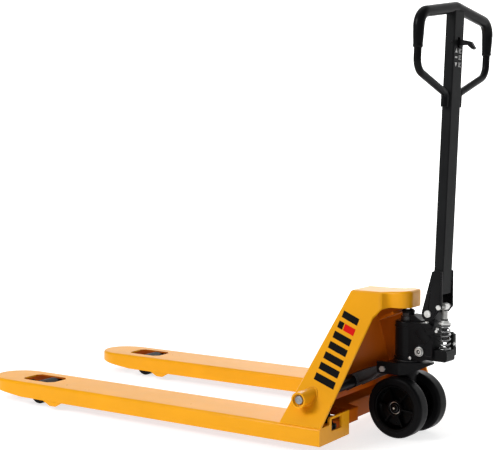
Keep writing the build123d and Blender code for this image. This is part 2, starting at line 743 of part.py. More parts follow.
# ---------------------------------------------------------------- pump
lug_half = 21.0
lug_radius = 16.0
pivot_pin_radius = 8.0
with BuildPart() as pump_body:
    with BuildSketch(steer.offset(pump_bottom)):
        Circle(pump_radius)
    extrude(amount=pump_top - pump_bottom)
    fillet(pump_body.edges().sort_by(Axis.Z)[-1], 4)
    with BuildSketch(steer_mid):
        with BuildLine():
            Polyline((0, pump_bottom + 3), (60, pump_bottom + 3), (pump_block_rear, pump_bottom + 14),
                     (pump_block_rear, pump_top - 6), (84, pump_top), (10, pump_top - 4),
                     (0, pump_top - 4), close=True)
        make_face()
    extrude(amount=pump_block_half, both=True)
    with BuildSketch(steer_mid):
        with Locations((plunger_x - 14, (spring_bottom + pump_bottom + 6) / 2)):
            Rectangle(66, spring_bottom - pump_bottom - 6)
        fillet(vertices().group_by(Axis.X)[-1], 8)
    extrude(amount=22, both=True)
    with BuildSketch(steer_mid):
        with Locations((pivot_x, pivot_z)):
            Circle(lug_radius)
        with Locations((pivot_x - 2, pump_top - 2)):
            Rectangle(2 * lug_radius - 4, 8)
        make_hull()
    extrude(amount=lug_half, both=True)
    with BuildSketch(steer_mid):
        with Locations((pivot_x, pivot_z)):
            Circle(pivot_pin_radius + running_gap)
    extrude(amount=lug_half + 1, both=True, mode=Mode.SUBTRACT)
    with BuildSketch(steer.offset(ram_bottom - 1)):
        Circle(ram_radius + running_gap)
        with Locations((plunger_x, 0)):
            Circle(plunger_radius + running_gap)
    extrude(amount=200, mode=Mode.SUBTRACT)
save(pump_body, "pump_body")

with BuildPart() as ram_gland:
    with BuildSketch(steer.offset(pump_top + 0.1)):
        Circle(21)
        Circle(ram_radius + running_gap, mode=Mode.SUBTRACT)
    extrude(amount=gland_top - pump_top - 10)
    with BuildSketch(steer.offset(gland_top - 10)):
        RegularPolygon(19, 6)
        Circle(ram_radius + running_gap, mode=Mode.SUBTRACT)
    extrude(amount=10)
save(ram_gland, "ram_gland")

valve_y = 33.0
valve_x = plunger_x + 1.5
valve_bottom = pump_bottom + 17
valve_height = 61.0
with BuildPart() as valve_block:
    with BuildSketch(steer.offset(valve_bottom)):
        with Locations((valve_x, valve_y)):
            Rectangle(25, 21)
        fillet(vertices(), 4)
    extrude(amount=valve_height)
    with BuildSketch(steer.offset(valve_bottom + valve_height)):
        with Locations((valve_x, valve_y)):
            Circle(8)
    extrude(amount=5)
save(valve_block, "valve_block")

with BuildPart() as pump_plugs:
    for place_x, place_z, size, reach in ((52, 240, 13, 9), (24, 219, 5, 4)):
        with BuildSketch(steer_side(-pump_block_half - 0.1)):
            with Locations((place_x, place_z)):
                Circle(size)
        extrude(amount=reach * 0.4)
        with BuildSketch(steer_side(-pump_block_half - 0.1 - reach * 0.4)):
            with Locations((place_x, place_z)):
                RegularPolygon(size * 0.92, 6)
        extrude(amount=reach * 0.6)
save(pump_plugs, "pump_plugs")

with BuildPart() as plunger:
    with BuildSketch(steer.offset(ram_bottom + 55)):
        with Locations((plunger_x, 0)):
            Circle(plunger_radius)
    extrude(amount=plunger_top - ram_bottom - 55)
    with BuildSketch(steer.offset(spring_top + 10)):
        with Locations((plunger_x, 0)):
            Circle(plunger_radius + 2)
    extrude(amount=4)
    chamfer(plunger.edges().sort_by(Axis.Z)[-1], 1.5)
save(plunger, "plunger")

with BuildPart() as spring_cap:
    with BuildSketch(steer.offset(spring_top)):
        with Locations((plunger_x, 0)):
            Circle(18.5)
            Circle(plunger_radius + 0.05, mode=Mode.SUBTRACT)
    extrude(amount=5)
    with BuildSketch(steer.offset(spring_top + 5)):
        with Locations((plunger_x, 0)):
            Circle(13)
            Circle(plunger_radius + 0.05, mode=Mode.SUBTRACT)
    extrude(amount=5)
save(spring_cap, "spring_cap")

with BuildPart() as pump_spring:
    with BuildSketch(steer.offset(spring_bottom + 0.2)):
        with Locations((plunger_x, 0)):
            Circle(spring_radius)
            Circle(spring_radius - 2 * spring_wire, mode=Mode.SUBTRACT)
    extrude(amount=spring_top - spring_bottom - 0.4)
save(pump_spring, "pump_spring")

release_arm_y = -33.5
release_x = 84.0
release_z = 297.0
with BuildPart() as release_arm:
    with BuildSketch(steer_side(release_arm_y)):
        with Locations((release_x, release_z)):
            Circle(8)
        with Locations((release_x + 24, release_z + 5)):
            Circle(5)
        make_hull()
    extrude(amount=4)
    with BuildSketch(steer_side(release_arm_y)):
        with Locations((release_x, release_z)):
            Circle(4)
    extrude(amount=-2.2)
    with BuildSketch(steer_side(release_arm_y - 4)):
        with Locations((release_x + 24, release_z + 5)):
            RegularPolygon(5, 6)
    extrude(amount=4)
save(release_arm, "release_arm")

# ---------------------------------------------------------------- tiller
bracket_top = 462.0
with BuildPart() as tiller_bracket:
    with BuildSketch(steer_mid):
        with Locations((pivot_x, pivot_z)):
            Circle(20)
        with Locations((roller_x - 3, roller_z + 2)):
            Circle(11)
        with Locations((105, bracket_top - 8)):
            Rectangle(30, 16)
        make_hull()
    extrude(amount=cheek_half_width, both=True)
    with BuildSketch(steer_mid):
        with BuildLine():
            Polyline((130, 300), (40, 300), (40, 378), (72, 378), (89.5, 446), (80, 446), (80, 470),
                     (130, 470), close=True)
        make_face()
    extrude(amount=cheek_inner, both=True, mode=Mode.SUBTRACT)
    with BuildSketch(steer_mid):
        with Locations((pivot_x, pivot_z)):
            Circle(pivot_pin_radius + 0.02)
        with Locations((roller_x, roller_z)):
            Circle(4)
    extrude(amount=cheek_half_width + 1, both=True, mode=Mode.SUBTRACT)
save(tiller_bracket, "tiller_bracket")

with BuildPart() as tiller_pins:
    for place_x, place_z, radius, head in ((pivot_x, pivot_z, pivot_pin_radius, 9.5),
                                           (roller_x, roller_z, 3.97, 6.5)):
        with BuildSketch(steer_mid):
            with Locations((place_x, place_z)):
                Circle(radius)
        extrude(amount=cheek_half_width + 2, both=True)
        for side in (-1, 1):
            with BuildSketch(steer_side(side * (cheek_half_width + 0.1))):
                with Locations((place_x, place_z)):
                    Circle(head)
            extrude(amount=-side * 4)
    with BuildSketch(lever_plane):
        with Locations((tube_depth / 2 - 6, lever_along)):
            Circle(3)
    extrude(amount=tube_width / 2 - 0.2, both=True)
save(tiller_pins, "tiller_pins")

with BuildPart() as tiller_roller:
    with BuildSketch(steer_mid):
        with Locations((roller_x, roller_z)):
            Circle(roller_radius)
            Circle(3.97 + running_gap, mode=Mode.SUBTRACT)
    extrude(amount=11, both=True)
    chamfer(tiller_roller.edges().filter_by(GeomType.CIRCLE).sort_by(SortBy.RADIUS)[-2:], 1)
save(tiller_roller, "tiller_roller")

with BuildLine(loop_plane):
    loop_path = FilletPolyline(
        (-loop_stub, loop_foot), (-loop_stub, loop_bend), (-loop_half_width, loop_elbow),
        (-loop_half_width, loop_shoulder), (0, loop_apex), (loop_half_width, loop_shoulder),
        (loop_half_width, loop_elbow), (loop_stub, loop_bend), (loop_stub, loop_foot),
        radius=(14, 40, 40, 40, 40, 40, 14))
with BuildLine(loop_plane):
    grip_path = FilletPolyline(
        (-loop_half_width, grip_end), (-loop_half_width, loop_shoulder), (0, loop_apex),
        (loop_half_width, loop_shoulder), (loop_half_width, grip_end), radius=40)

with BuildPart() as handle_loop:
    with BuildSketch(Plane(origin=loop_path @ 0, z_dir=loop_path % 0)):
        Circle(loop_tube_radius)
    sweep(path=loop_path)
save(handle_loop, "handle_loop")

with BuildPart() as handle_grip:
    with BuildSketch(Plane(origin=grip_path @ 0, z_dir=grip_path % 0)):
        Circle(grip_radius)
        Circle(loop_tube_radius + 0.05, mode=Mode.SUBTRACT)
    sweep(path=grip_path)
save(handle_grip, "handle_grip")

with BuildPart() as tiller_tube:
    with BuildSketch(tube_plane.offset(tube_start)):
        RectangleRounded(tube_width, tube_depth, 4)
        RectangleRounded(tube_width - 2 * tube_wall, tube_depth - 2 * tube_wall, 1.5, mode=Mode.SUBTRACT)
    extrude(amount=tube_end - tube_start)
    with BuildSketch(lever_plane):
        with Locations((tube_depth / 2, lever_along)):
            Rectangle(12, lever_slot_length)
    extrude(amount=lever_half_width + 1.5, both=True, mode=Mode.SUBTRACT)
    with BuildSketch(lever_plane):
        with Locations((tube_depth / 2 - 6, lever_along)):
            Circle(3.02)
    extrude(amount=tube_width, both=True, mode=Mode.SUBTRACT)
    with BuildSketch(Plane(origin=grip_path @ 0, z_dir=grip_path % 0)):
        Circle(grip_radius + 0.05)
    sweep(path=grip_path, mode=Mode.SUBTRACT)
save(tiller_tube, "tiller_tube")

with BuildPart() as release_lever:
    with BuildSketch(lever_plane):
        with BuildLine():
            Polyline((1, lever_along - 7), (14, lever_along - 9), (40, lever_along - 7),
                     (57, lever_along - 20), (64, lever_along - 16), (52, lever_along + 1),
                     (42, lever_along + 4), (14, lever_along + 8), (1, lever_along + 6), close=True)
        make_face()
        fillet(vertices(), 2.4)
        with Locations((tube_depth / 2 - 6, lever_along)):
            Circle(3 + running_gap, mode=Mode.SUBTRACT)
    extrude(amount=lever_half_width, both=True)
save(release_lever, "release_lever")

release_rod_start = tube_start + 10
release_rod_top = lever_along - 16
guide_height = 4.0
with BuildPart() as release_rod:
    with BuildSketch(tube_plane.offset(release_rod_start)):
        Circle(3)
    extrude(amount=release_rod_top - release_rod_start)
    for guide in (release_rod_start, (release_rod_start + release_rod_top) / 2, release_rod_top - 40):
        with BuildSketch(tube_plane.offset(guide)):
            RectangleRounded(tube_width - 2 * tube_wall - 0.1, tube_depth - 2 * tube_wall - 0.1, 1.5)
        extrude(amount=guide_height)
save(release_rod, "release_rod")
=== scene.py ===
import json
import math

import bmesh
import bpy
from mathutils import Matrix, Vector


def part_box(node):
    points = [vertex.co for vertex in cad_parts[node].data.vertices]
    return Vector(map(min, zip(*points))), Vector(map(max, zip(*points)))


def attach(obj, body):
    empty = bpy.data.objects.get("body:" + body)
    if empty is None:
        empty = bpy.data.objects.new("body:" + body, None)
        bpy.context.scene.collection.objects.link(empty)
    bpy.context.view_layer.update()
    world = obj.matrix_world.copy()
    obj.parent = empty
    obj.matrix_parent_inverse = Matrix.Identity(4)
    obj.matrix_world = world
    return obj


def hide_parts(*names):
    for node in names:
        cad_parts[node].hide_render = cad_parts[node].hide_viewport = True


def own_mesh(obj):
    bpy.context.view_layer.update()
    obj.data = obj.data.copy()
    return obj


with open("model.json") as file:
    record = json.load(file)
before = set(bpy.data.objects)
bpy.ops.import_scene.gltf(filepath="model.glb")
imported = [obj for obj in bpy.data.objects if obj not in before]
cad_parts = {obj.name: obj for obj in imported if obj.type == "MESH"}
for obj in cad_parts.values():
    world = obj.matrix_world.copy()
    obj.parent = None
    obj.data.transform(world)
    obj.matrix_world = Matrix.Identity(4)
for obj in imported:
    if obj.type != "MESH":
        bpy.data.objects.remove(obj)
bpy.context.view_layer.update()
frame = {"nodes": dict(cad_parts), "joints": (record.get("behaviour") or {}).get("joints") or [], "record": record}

NODES = frame["nodes"]
JOINTS = {joint["name"]: joint for joint in frame["joints"]}
SIDES = {"left": -1, "right": 1}


# ------------------------------------------------------------------ places
def joint_place(name):
    return Vector(JOINTS[name]["pos_m"])


def node_box(name):
    low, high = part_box(name)
    return Vector(low), Vector(high)


def node_centre(name):
    low, high = node_box(name)
    return (low + high) / 2


def axes(origin, x_axis, y_axis, z_axis):
    """Matrix that carries local coordinates to the row frame."""
    turned = Matrix((x_axis, y_axis, z_axis)).transposed().to_4x4()
    return Matrix.Translation(origin) @ turned


across = Vector(JOINTS["tiller"]["axis"]).normalized()
up = Vector((0, 0, 1))
rearward = across.cross(up)
along_forks = Vector((1, 0, 0))
steer_foot = Vector((joint_place("steer").x, joint_place("steer").y, 0))
STEER = axes(steer_foot, rearward, across, up)
TUBE_TILT = math.radians(2.3)
tube_axis = rearward * math.sin(TUBE_TILT) + up * math.cos(TUBE_TILT)
tube_back = across.cross(tube_axis)


def steer_at(x, y, z):
    """Row-frame point for a point of the steering unit: x rearwards, y right, z up."""
    return STEER @ Vector((x, y, z))


TUBE_DEPTH, TUBE_WIDTH = 0.028, 0.053
TUBE_REAR_X, TUBE_ZERO_Z = 0.1202, 0.481
TUBE_MIDDLE = steer_at(TUBE_REAR_X - TUBE_DEPTH / 2, 0, TUBE_ZERO_Z)
CHEEK_HALF = 0.033


def tube_at(y, along, out=0.0):
    """Row-frame point for a point of the tiller: y right, along the tube, out to its rear."""
    return TUBE_MIDDLE + across * y + tube_axis * along + tube_back * out


# ------------------------------------------------------------------ materials
DARK_STOP, LIGHT_STOP = 0.3, 0.7
COAT_ROUGHNESS = 0.12


def new_material(name):
    material = bpy.data.materials.new(name)
    material.use_nodes = True
    nodes = material.node_tree.nodes
    return material, nodes, material.node_tree.links, nodes["Principled BSDF"]


def noise_node(nodes, links, coords, scale, detail=4.0, roughness=0.55):
    node = nodes.new("ShaderNodeTexNoise")
    node.inputs["Scale"].default_value = scale
    node.inputs["Detail"].default_value = detail
    node.inputs["Roughness"].default_value = roughness
    links.new(coords, node.inputs["Vector"])
    return node.outputs["Fac"]


def ramp_node(nodes, links, value, stops):
    node = nodes.new("ShaderNodeValToRGB")
    ramp = node.color_ramp
    while len(ramp.elements) < len(stops):
        ramp.elements.new(0.5)
    for element, (position, colour) in zip(ramp.elements, stops):
        element.position = position
        element.color = (*colour, 1)
    links.new(value, node.inputs["Fac"])
    return node.outputs["Color"]


def range_node(nodes, links, value, low, high):
    node = nodes.new("ShaderNodeMapRange")
    node.inputs["To Min"].default_value = low
    node.inputs["To Max"].default_value = high
    links.new(value, node.inputs["Value"])
    return node.outputs["Result"]


def bump_node(nodes, links, height, distance, strength=1.0):
    node = nodes.new("ShaderNodeBump")
    node.inputs["Distance"].default_value = distance
    node.inputs["Strength"].default_value = strength
    links.new(height, node.inputs["Height"])
    return node.outputs["Normal"]


def surface(name, colour, spread=0.08, roughness=(0.3, 0.45), metallic=0.0, blotch=9.0,
            grain=600.0, grain_depth=0.00004, coat=0.0, specular=0.5):
    """A material whose colour, roughness and grain vary over the surface."""
    material, nodes, links, shader = new_material(name)
    coords = nodes.new("ShaderNodeTexCoord").outputs["Object"]
    patches = noise_node(nodes, links, coords, blotch)
    dark = tuple(c * (1 - spread) for c in colour)
    light = tuple(min(1.0, c * (1 + spread)) for c in colour)
    tint = ramp_node(nodes, links, patches, [(DARK_STOP, dark), (LIGHT_STOP, light)])
    links.new(tint, shader.inputs["Base Color"])
    smears = noise_node(nodes, links, coords, blotch * 4, 6.0)
    links.new(range_node(nodes, links, smears, *roughness), shader.inputs["Roughness"])
    fine = noise_node(nodes, links, coords, grain, 2.0)
    links.new(bump_node(nodes, links, fine, grain_depth), shader.inputs["Normal"])
    shader.inputs["Metallic"].default_value = metallic
    shader.inputs["Specular IOR Level"].default_value = specular
    shader.inputs["Coat Weight"].default_value = coat
    shader.inputs["Coat Roughness"].default_value = COAT_ROUGHNESS
    return material


ORANGE = surface("orange paint", (0.80, 0.342, 0.006), 0.04, (0.24, 0.36), coat=0.05,
                 grain=420.0, grain_depth=0.00002, specular=0.12)
# darker orange that paints the shade on inside faces: the forks' channels, the shell's inner side, the gusset, the
# cross member and its end plates
ORANGE_PAINTED_SHADE = surface("orange with painted shade", (0.44, 0.092, 0.002), 0.08, (0.36, 0.5),
                        grain=420.0, grain_depth=0.00003, specular=0.06)
BLACK = surface("black paint", (0.006, 0.006, 0.0065), 0.3, (0.26, 0.44), grain=500.0,
                specular=0.08)
LINK = surface("link paint", (0.085, 0.088, 0.092), 0.25, (0.30, 0.5), grain=500.0, specular=0.2)
TUBE = surface("tube paint", (0.012, 0.0125, 0.013), 0.2, (0.30, 0.42), grain=500.0,
               specular=0.03)
GRIP = surface("grip rubber", (0.004, 0.004, 0.0045), 0.25, (0.30, 0.44), grain=900.0,
               grain_depth=0.00004, coat=0.05, specular=0.05)
ZINC = surface("zinc", (0.66, 0.66, 0.64), 0.12, (0.22, 0.40), 0.55, 60.0)
STEEL = surface("dark steel", (0.06, 0.06, 0.062), 0.2, (0.34, 0.52), 0.8, 40.0)
CHROME = surface("chrome", (0.78, 0.79, 0.80), 0.04, (0.06, 0.14), 1.0, 30.0)
SPRING = surface("spring steel", (0.26, 0.26, 0.26), 0.15, (0.20, 0.32), 0.9, 60.0)
WHEEL = surface("wheel nylon", (0.002, 0.002, 0.0022), 0.25, (0.18, 0.32), grain=700.0,
                specular=0.05)
TYRE = surface("tyre", (0.005, 0.005, 0.0055), 0.3, (0.28, 0.46), grain=800.0,
               grain_depth=0.00005, specular=0.05)
ROLLER = surface("roller", (0.006, 0.006, 0.0065), 0.25, (0.4, 0.55), grain=800.0, specular=0.1)
DECAL_BLACK = surface("black film", (0.004, 0.004, 0.004), 0.25, (0.3, 0.42), grain=900.0,
                      specular=0.06)
DECAL_RED = surface("red film", (0.68, 0.006, 0.004), 0.1, (0.3, 0.42), grain=900.0,
                    specular=0.08)
PALE_FILM = surface("pale film", (0.50, 0.50, 0.49), 0.1, (0.4, 0.5), grain=900.0)

# the look of each material slot in the record
SLOT_LOOKS = {
    "fork_paint": ORANGE, "black_paint": BLACK, "zinc": ZINC, "dark_steel": STEEL,
    "chrome": CHROME, "wheel_plastic": WHEEL, "tyre": TYRE, "roller": ROLLER,
    "grip": GRIP, "lever": BLACK,
}
# nodes that look different from the rest of their slot
SPECIAL_LOOKS = {
    "tiller_tube": TUBE, "handle_loop": GRIP, "lift_arms": LINK, "steer_axle": STEEL,
    # head_gusset and cross_member get the orange with painted shade
    "tiller_roller": ZINC, "head_gusset": ORANGE_PAINTED_SHADE, "cross_member": ORANGE_PAINTED_SHADE,
    # the plunger gets dark steel in place of chrome, which paints the shade inside the spring
    "torsion_shaft": SPRING, "plunger": STEEL,
}


# ------------------------------------------------------------------ carried-over CAD nodes
MERGE_GAP = 0.00001
CAD_EDGE, CAD_EDGE_ANGLE = 0.0008, 35
# parts of a face's normal that make it face down or sideways; such faces of the forks get painted shade
FACES_DOWN, FACES_ACROSS = -0.6, 0.5


def roll_edges(piece, width, segments, degrees):
    """Rounds the edges that turn by more than degrees and evens out the shading."""
    rounding = piece.modifiers.new("bevel", "BEVEL")
    rounding.width = width
    rounding.segments = segments
    rounding.limit_method = "ANGLE"
    rounding.angle_limit = math.radians(degrees)
    piece.modifiers.new("normals", "WEIGHTED_NORMAL").keep_sharp = True


def dress_cad_nodes():
    """Gives every CAD node its material and rolled edges."""
    slots = {part["node"]: part["material_slot"] for part in frame["record"]["subparts"]}
    for name, node in NODES.items():
        node.data.materials.clear()
        node.data.materials.append(SPECIAL_LOOKS.get(name, SLOT_LOOKS[slots[name]]))
        node.modifiers.new("weld", "WELD").merge_threshold = MERGE_GAP
        roll_edges(node, CAD_EDGE, 2, CAD_EDGE_ANGLE)
        for polygon in node.data.polygons:
            polygon.use_smooth = True
    for name in ("fork_left", "fork_right"):
        paint_fork_shade(name)


def paint_fork_shade(name):
    """Paints shade on the faces inside a fork's channel and on those facing down, with a darker orange."""
    node = NODES[name]
    node.data.materials.append(ORANGE_PAINTED_SHADE)
    middle = node_centre(name).y
    for polygon in node.data.polygons:
        normal = node.matrix_world.to_3x3() @ polygon.normal
        centre = node.matrix_world @ polygon.center
        inwards = abs(normal.y) > FACES_ACROSS and normal.y * (centre.y - middle) < 0
        if normal.z < FACES_DOWN or inwards:
            polygon.material_index = 1


# ------------------------------------------------------------------ mesh tools
PIECE_EDGE_ANGLE = 30
WASHER_HEIGHT = 0.0016
BEAD_SPACING = 0.0022


def new_object(name, shape, *materials):
    """Turns a bmesh into an object of the scene."""
    mesh = bpy.data.meshes.new(name)
    shape.to_mesh(mesh)
    shape.free()
    for material in materials:
        mesh.materials.append(material)
    thing = bpy.data.objects.new(name, mesh)
    bpy.context.collection.objects.link(thing)
    return thing


def smooth_up_to(thing, degrees):
    """Smooth shading, with the edges that turn by more than degrees left sharp."""
    thing.data.shade_smooth()
    thing.data.set_sharp_from_angle(angle=math.radians(degrees))


def add_piece(name, shape, material, body, replaces=(), sharp=35.0, bevel=0.0, segments=2):
    """Turns a bmesh into a finished piece that rides on a CAD body."""
    bmesh.ops.recalc_face_normals(shape, faces=shape.faces)
    piece = new_object(name, shape, material)
    smooth_up_to(piece, sharp)
    if bevel:
        roll_edges(piece, bevel, segments, PIECE_EDGE_ANGLE)
    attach(piece, body)
    if replaces:
        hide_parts(*replaces)
    return piece


def lathe(shape, profile, place, steps=64):
    """Revolves (along, radius) points about the place's z axis. Ends on the axis are closed."""
    rings = []
    for along, radius in profile:
        if radius < 1e-6:
            rings.append([shape.verts.new(place @ Vector((0, 0, along)))])
            continue
        ring = []
        for step in range(steps):
            angle = math.tau * step / steps
            ring.append(shape.verts.new(
                place @ Vector((radius * math.cos(angle), radius * math.sin(angle), along))))
        rings.append(ring)
    for first, second in zip(rings, rings[1:]):
        for step in range(steps):
            after = (step + 1) % steps
            if len(first) == 1 and len(second) == 1:
                continue
            if len(first) == 1:
                shape.faces.new((first[0], second[step], second[after]))
            elif len(second) == 1:
                shape.faces.new((first[step], second[0], first[after]))
            else:
                shape.faces.new((first[step], second[step], second[after], first[after]))


def ring_lathe(shape, profile, place, steps=64):
    """Revolves a closed outline that doesn't touch the axis."""
    lathe(shape, list(profile) + [profile[0]], place, steps)
    bmesh.ops.remove_doubles(shape, verts=shape.verts, dist=1e-7)


def prism(shape, outline, low, high, place):
    """Extrudes a flat (x, y) outline from z = low to z = high."""
    bottom = [shape.verts.new(place @ Vector((x, y, low))) for x, y in outline]
    top = [shape.verts.new(place @ Vector((x, y, high))) for x, y in outline]
    shape.faces.new(bottom[::-1])
    shape.faces.new(top)
    for index in range(len(outline)):
        after = (index + 1) % len(outline)
        shape.faces.new((bottom[index], bottom[after], top[after], top[index]))


def arc(centre, radius, start, end, steps):
    """Points on a circle, in degrees."""
    points = []
    for step in range(steps + 1):
        angle = math.radians(start + (end - start) * step / steps)
        points.append((centre[0] + radius * math.cos(angle),
                       centre[1] + radius * math.sin(angle)))
    return points


def rounded_path(corners, radii, steps):
    """Corner points joined by straight runs, with each inner corner rounded."""
    points = [corners[0]]
    for before, corner, after, radius in zip(corners, corners[1:], corners[2:], radii):
        into = (corner - before).normalized()
        out_of = (after - corner).normalized()
        turn = into.angle(out_of)
        reach = radius * math.tan(turn / 2)
        start = corner - into * reach
        middle = corner + (out_of - into).normalized() * (radius / math.cos(turn / 2))
        axis = into.cross(out_of).normalized()
        for step in range(steps + 1):
            spin = Matrix.Rotation(turn * step / steps, 3, axis)
            points.append(middle + spin @ (start - middle))
    points.append(corners[-1])
    return points


def sweep(shape, points, radius_at, steps):
    """Closed tube along points. radius_at(share of length) gives the radius."""
    tangents = []
    for index in range(len(points)):
        before = points[index - 1] if index else points[0]
        after = points[index + 1] if index + 1 < len(points) else points[-1]
        tangents.append((after - before).normalized())
    side = tangents[0].orthogonal().normalized()
    lengths = [0.0]
    for before, after in zip(points, points[1:]):
        lengths.append(lengths[-1] + (after - before).length)
    rings = []
    for point, tangent, length in zip(points, tangents, lengths):
        side = (side - tangent * side.dot(tangent)).normalized()
        other = tangent.cross(side)
        radius = radius_at(length / lengths[-1])
        angles = [math.tau * step / steps for step in range(steps)]
        rings.append([shape.verts.new(point + radius * (side * math.cos(angle)
                                                        + other * math.sin(angle)))
                      for angle in angles])
    for first, second in zip(rings, rings[1:]):
        for step in range(steps):
            after = (step + 1) % steps
            shape.faces.new((first[step], first[after], second[after], second[step]))
    shape.faces.new(rings[0][::-1])
    shape.faces.new(rings[-1])


def resample(points, spacing, fewest=1):
    """The same path with points about spacing apart."""
    dense = []
    for before, after in zip(points, points[1:]):
        count = max(fewest, int((after - before).length / spacing))
        dense.extend(before.lerp(after, step / count) for step in range(count))
    dense.append(points[-1])
    return dense


def weld(name, points, radius, material, body):
    """A painted weld bead with its ripples."""
    dense = resample(points, BEAD_SPACING, 2)

    def bead_radius(share):
        way = share * (len(dense) - 1)
        return radius * (1 + 0.16 * math.sin(way * 2.1) + 0.08 * math.sin(way * 0.7))

    shape = bmesh.new()
    sweep(shape, dense, bead_radius, 10)
    add_piece(name, shape, material, body, sharp=80)


def facing(origin, direction):
    """Place whose z axis looks along direction."""
    z_axis = direction.normalized()
    x_axis = z_axis.orthogonal().normalized()
    return axes(origin, x_axis, z_axis.cross(x_axis), z_axis)


def hex_head(shape, place, size, height, washer=0.0):
    """Hexagon head on an optional washer, from z = 0 up."""
    base = WASHER_HEIGHT if washer else 0.0
    if washer:
        lathe(shape, [(0, 0), (0, washer), (base - 0.0004, washer), (base, washer - 0.0004),
                      (base, 0)], place, 40)
    rings = []
    for along, radius in ((base, size), (base + height * 0.78, size),
                          (base + height, size * 0.86)):
        angles = [math.tau * k / 6 for k in range(6)]
        rings.append([shape.verts.new(place @ Vector((radius * math.cos(angle),
                                                      radius * math.sin(angle), along)))
                      for angle in angles])
    for first, second in zip(rings, rings[1:]):
        for k in range(6):
            shape.faces.new((first[k], first[(k + 1) % 6], second[(k + 1) % 6], second[k]))
    shape.faces.new(rings[0][::-1])
    shape.faces.new(rings[-1])


# ------------------------------------------------------------------ fork frame
HEEL_X = node_box("heel_plates")[1].x
PLATE = 0.006
FOOT_Y, FOOT_Z = 0.339, 0.0781
SHELL_FOOT_Z = FOOT_Z - 0.004
TOP_Y, TOP_Z = 0.057, 0.398
SHOULDER_Z = 0.334
NOSE_LOW_Z = 0.3566
NOSE_Y, NOSE_CORNER, NOSE_RISE = 0.054, 0.034, 0.006
NOSE_END_X = node_box("pump_head")[1].x - 0.005
SIDE_FRONT_X, SIDE_REAR_X = HEEL_X - 0.125, HEEL_X + 0.002
TOP_FRONT_X, TOP_REAR_X = HEEL_X - 0.066, HEEL_X + 0.026
SHOULDER_X, FOLD_LOW_X, BEND_END_X = HEEL_X + 0.031, HEEL_X + 0.046, HEEL_X + 0.062
BEND_SHARES, BEND_POWER = (0.0, 0.40, 0.70, 1.0), 2.5
FOLD_RADIUS, FOLD_SEGMENTS = 0.0075, 5
SHELL_SHARP, SHELL_EDGE, SHELL_EDGE_ANGLE = 32, 0.0009, 50
SKIRT_Y, SKIRT_Z = 0.181, 0.043
FRAME_BEAD, BOSS_BEAD, BOSS_RADIUS = 0.0032, 0.0024, 0.0215
BEAD_LIFT = 0.001


def side_y(z):
    """Distance of the side plate's outer face from the middle at height z."""
    return FOOT_Y + (TOP_Y - FOOT_Y) * (z - FOOT_Z) / (TOP_Z - FOOT_Z)


def nose_top_z(x):
    """Height of the top sheet, which rises a little towards the nose."""
    return TOP_Z + NOSE_RISE * (x - TOP_REAR_X) / (NOSE_END_X - TOP_REAR_X)


def shell_half(shape, side):
    """Vertices of one side: the plate's corners, then the nose's low and high edges."""
    corners = {
        "front_foot": (SIDE_FRONT_X, side_y(SHELL_FOOT_Z), SHELL_FOOT_Z),
        "rear_foot": (SIDE_REAR_X, side_y(SHELL_FOOT_Z), SHELL_FOOT_Z),
        "shoulder": (SHOULDER_X, side_y(SHOULDER_Z), SHOULDER_Z),
        "top_front": (TOP_FRONT_X, TOP_Y, TOP_Z),
    }
    verts = {key: shape.verts.new((x, side * y, z)) for key, (x, y, z) in corners.items()}
    low_edge, high_edge = [], []

    def edge_pair(low_x, low_y, high_x, high_y):
        low_edge.append(shape.verts.new((low_x, side * low_y, NOSE_LOW_Z)))
        high_edge.append(shape.verts.new((high_x, side * high_y, nose_top_z(high_x))))

    plate_y = side_y(NOSE_LOW_Z)
    for share in BEND_SHARES:
        bend = 1 - (1 - share) ** BEND_POWER
        edge_pair(FOLD_LOW_X + (BEND_END_X - FOLD_LOW_X) * share,
                  plate_y + (NOSE_Y - plate_y) * bend,
                  TOP_REAR_X + (BEND_END_X - TOP_REAR_X) * share,
                  TOP_Y + (NOSE_Y - TOP_Y) * bend)
    for x, y in arc((NOSE_END_X - NOSE_CORNER, NOSE_Y - NOSE_CORNER), NOSE_CORNER, 90, 0, 6):
        edge_pair(x, y, x, y)
    return verts, low_edge, high_edge


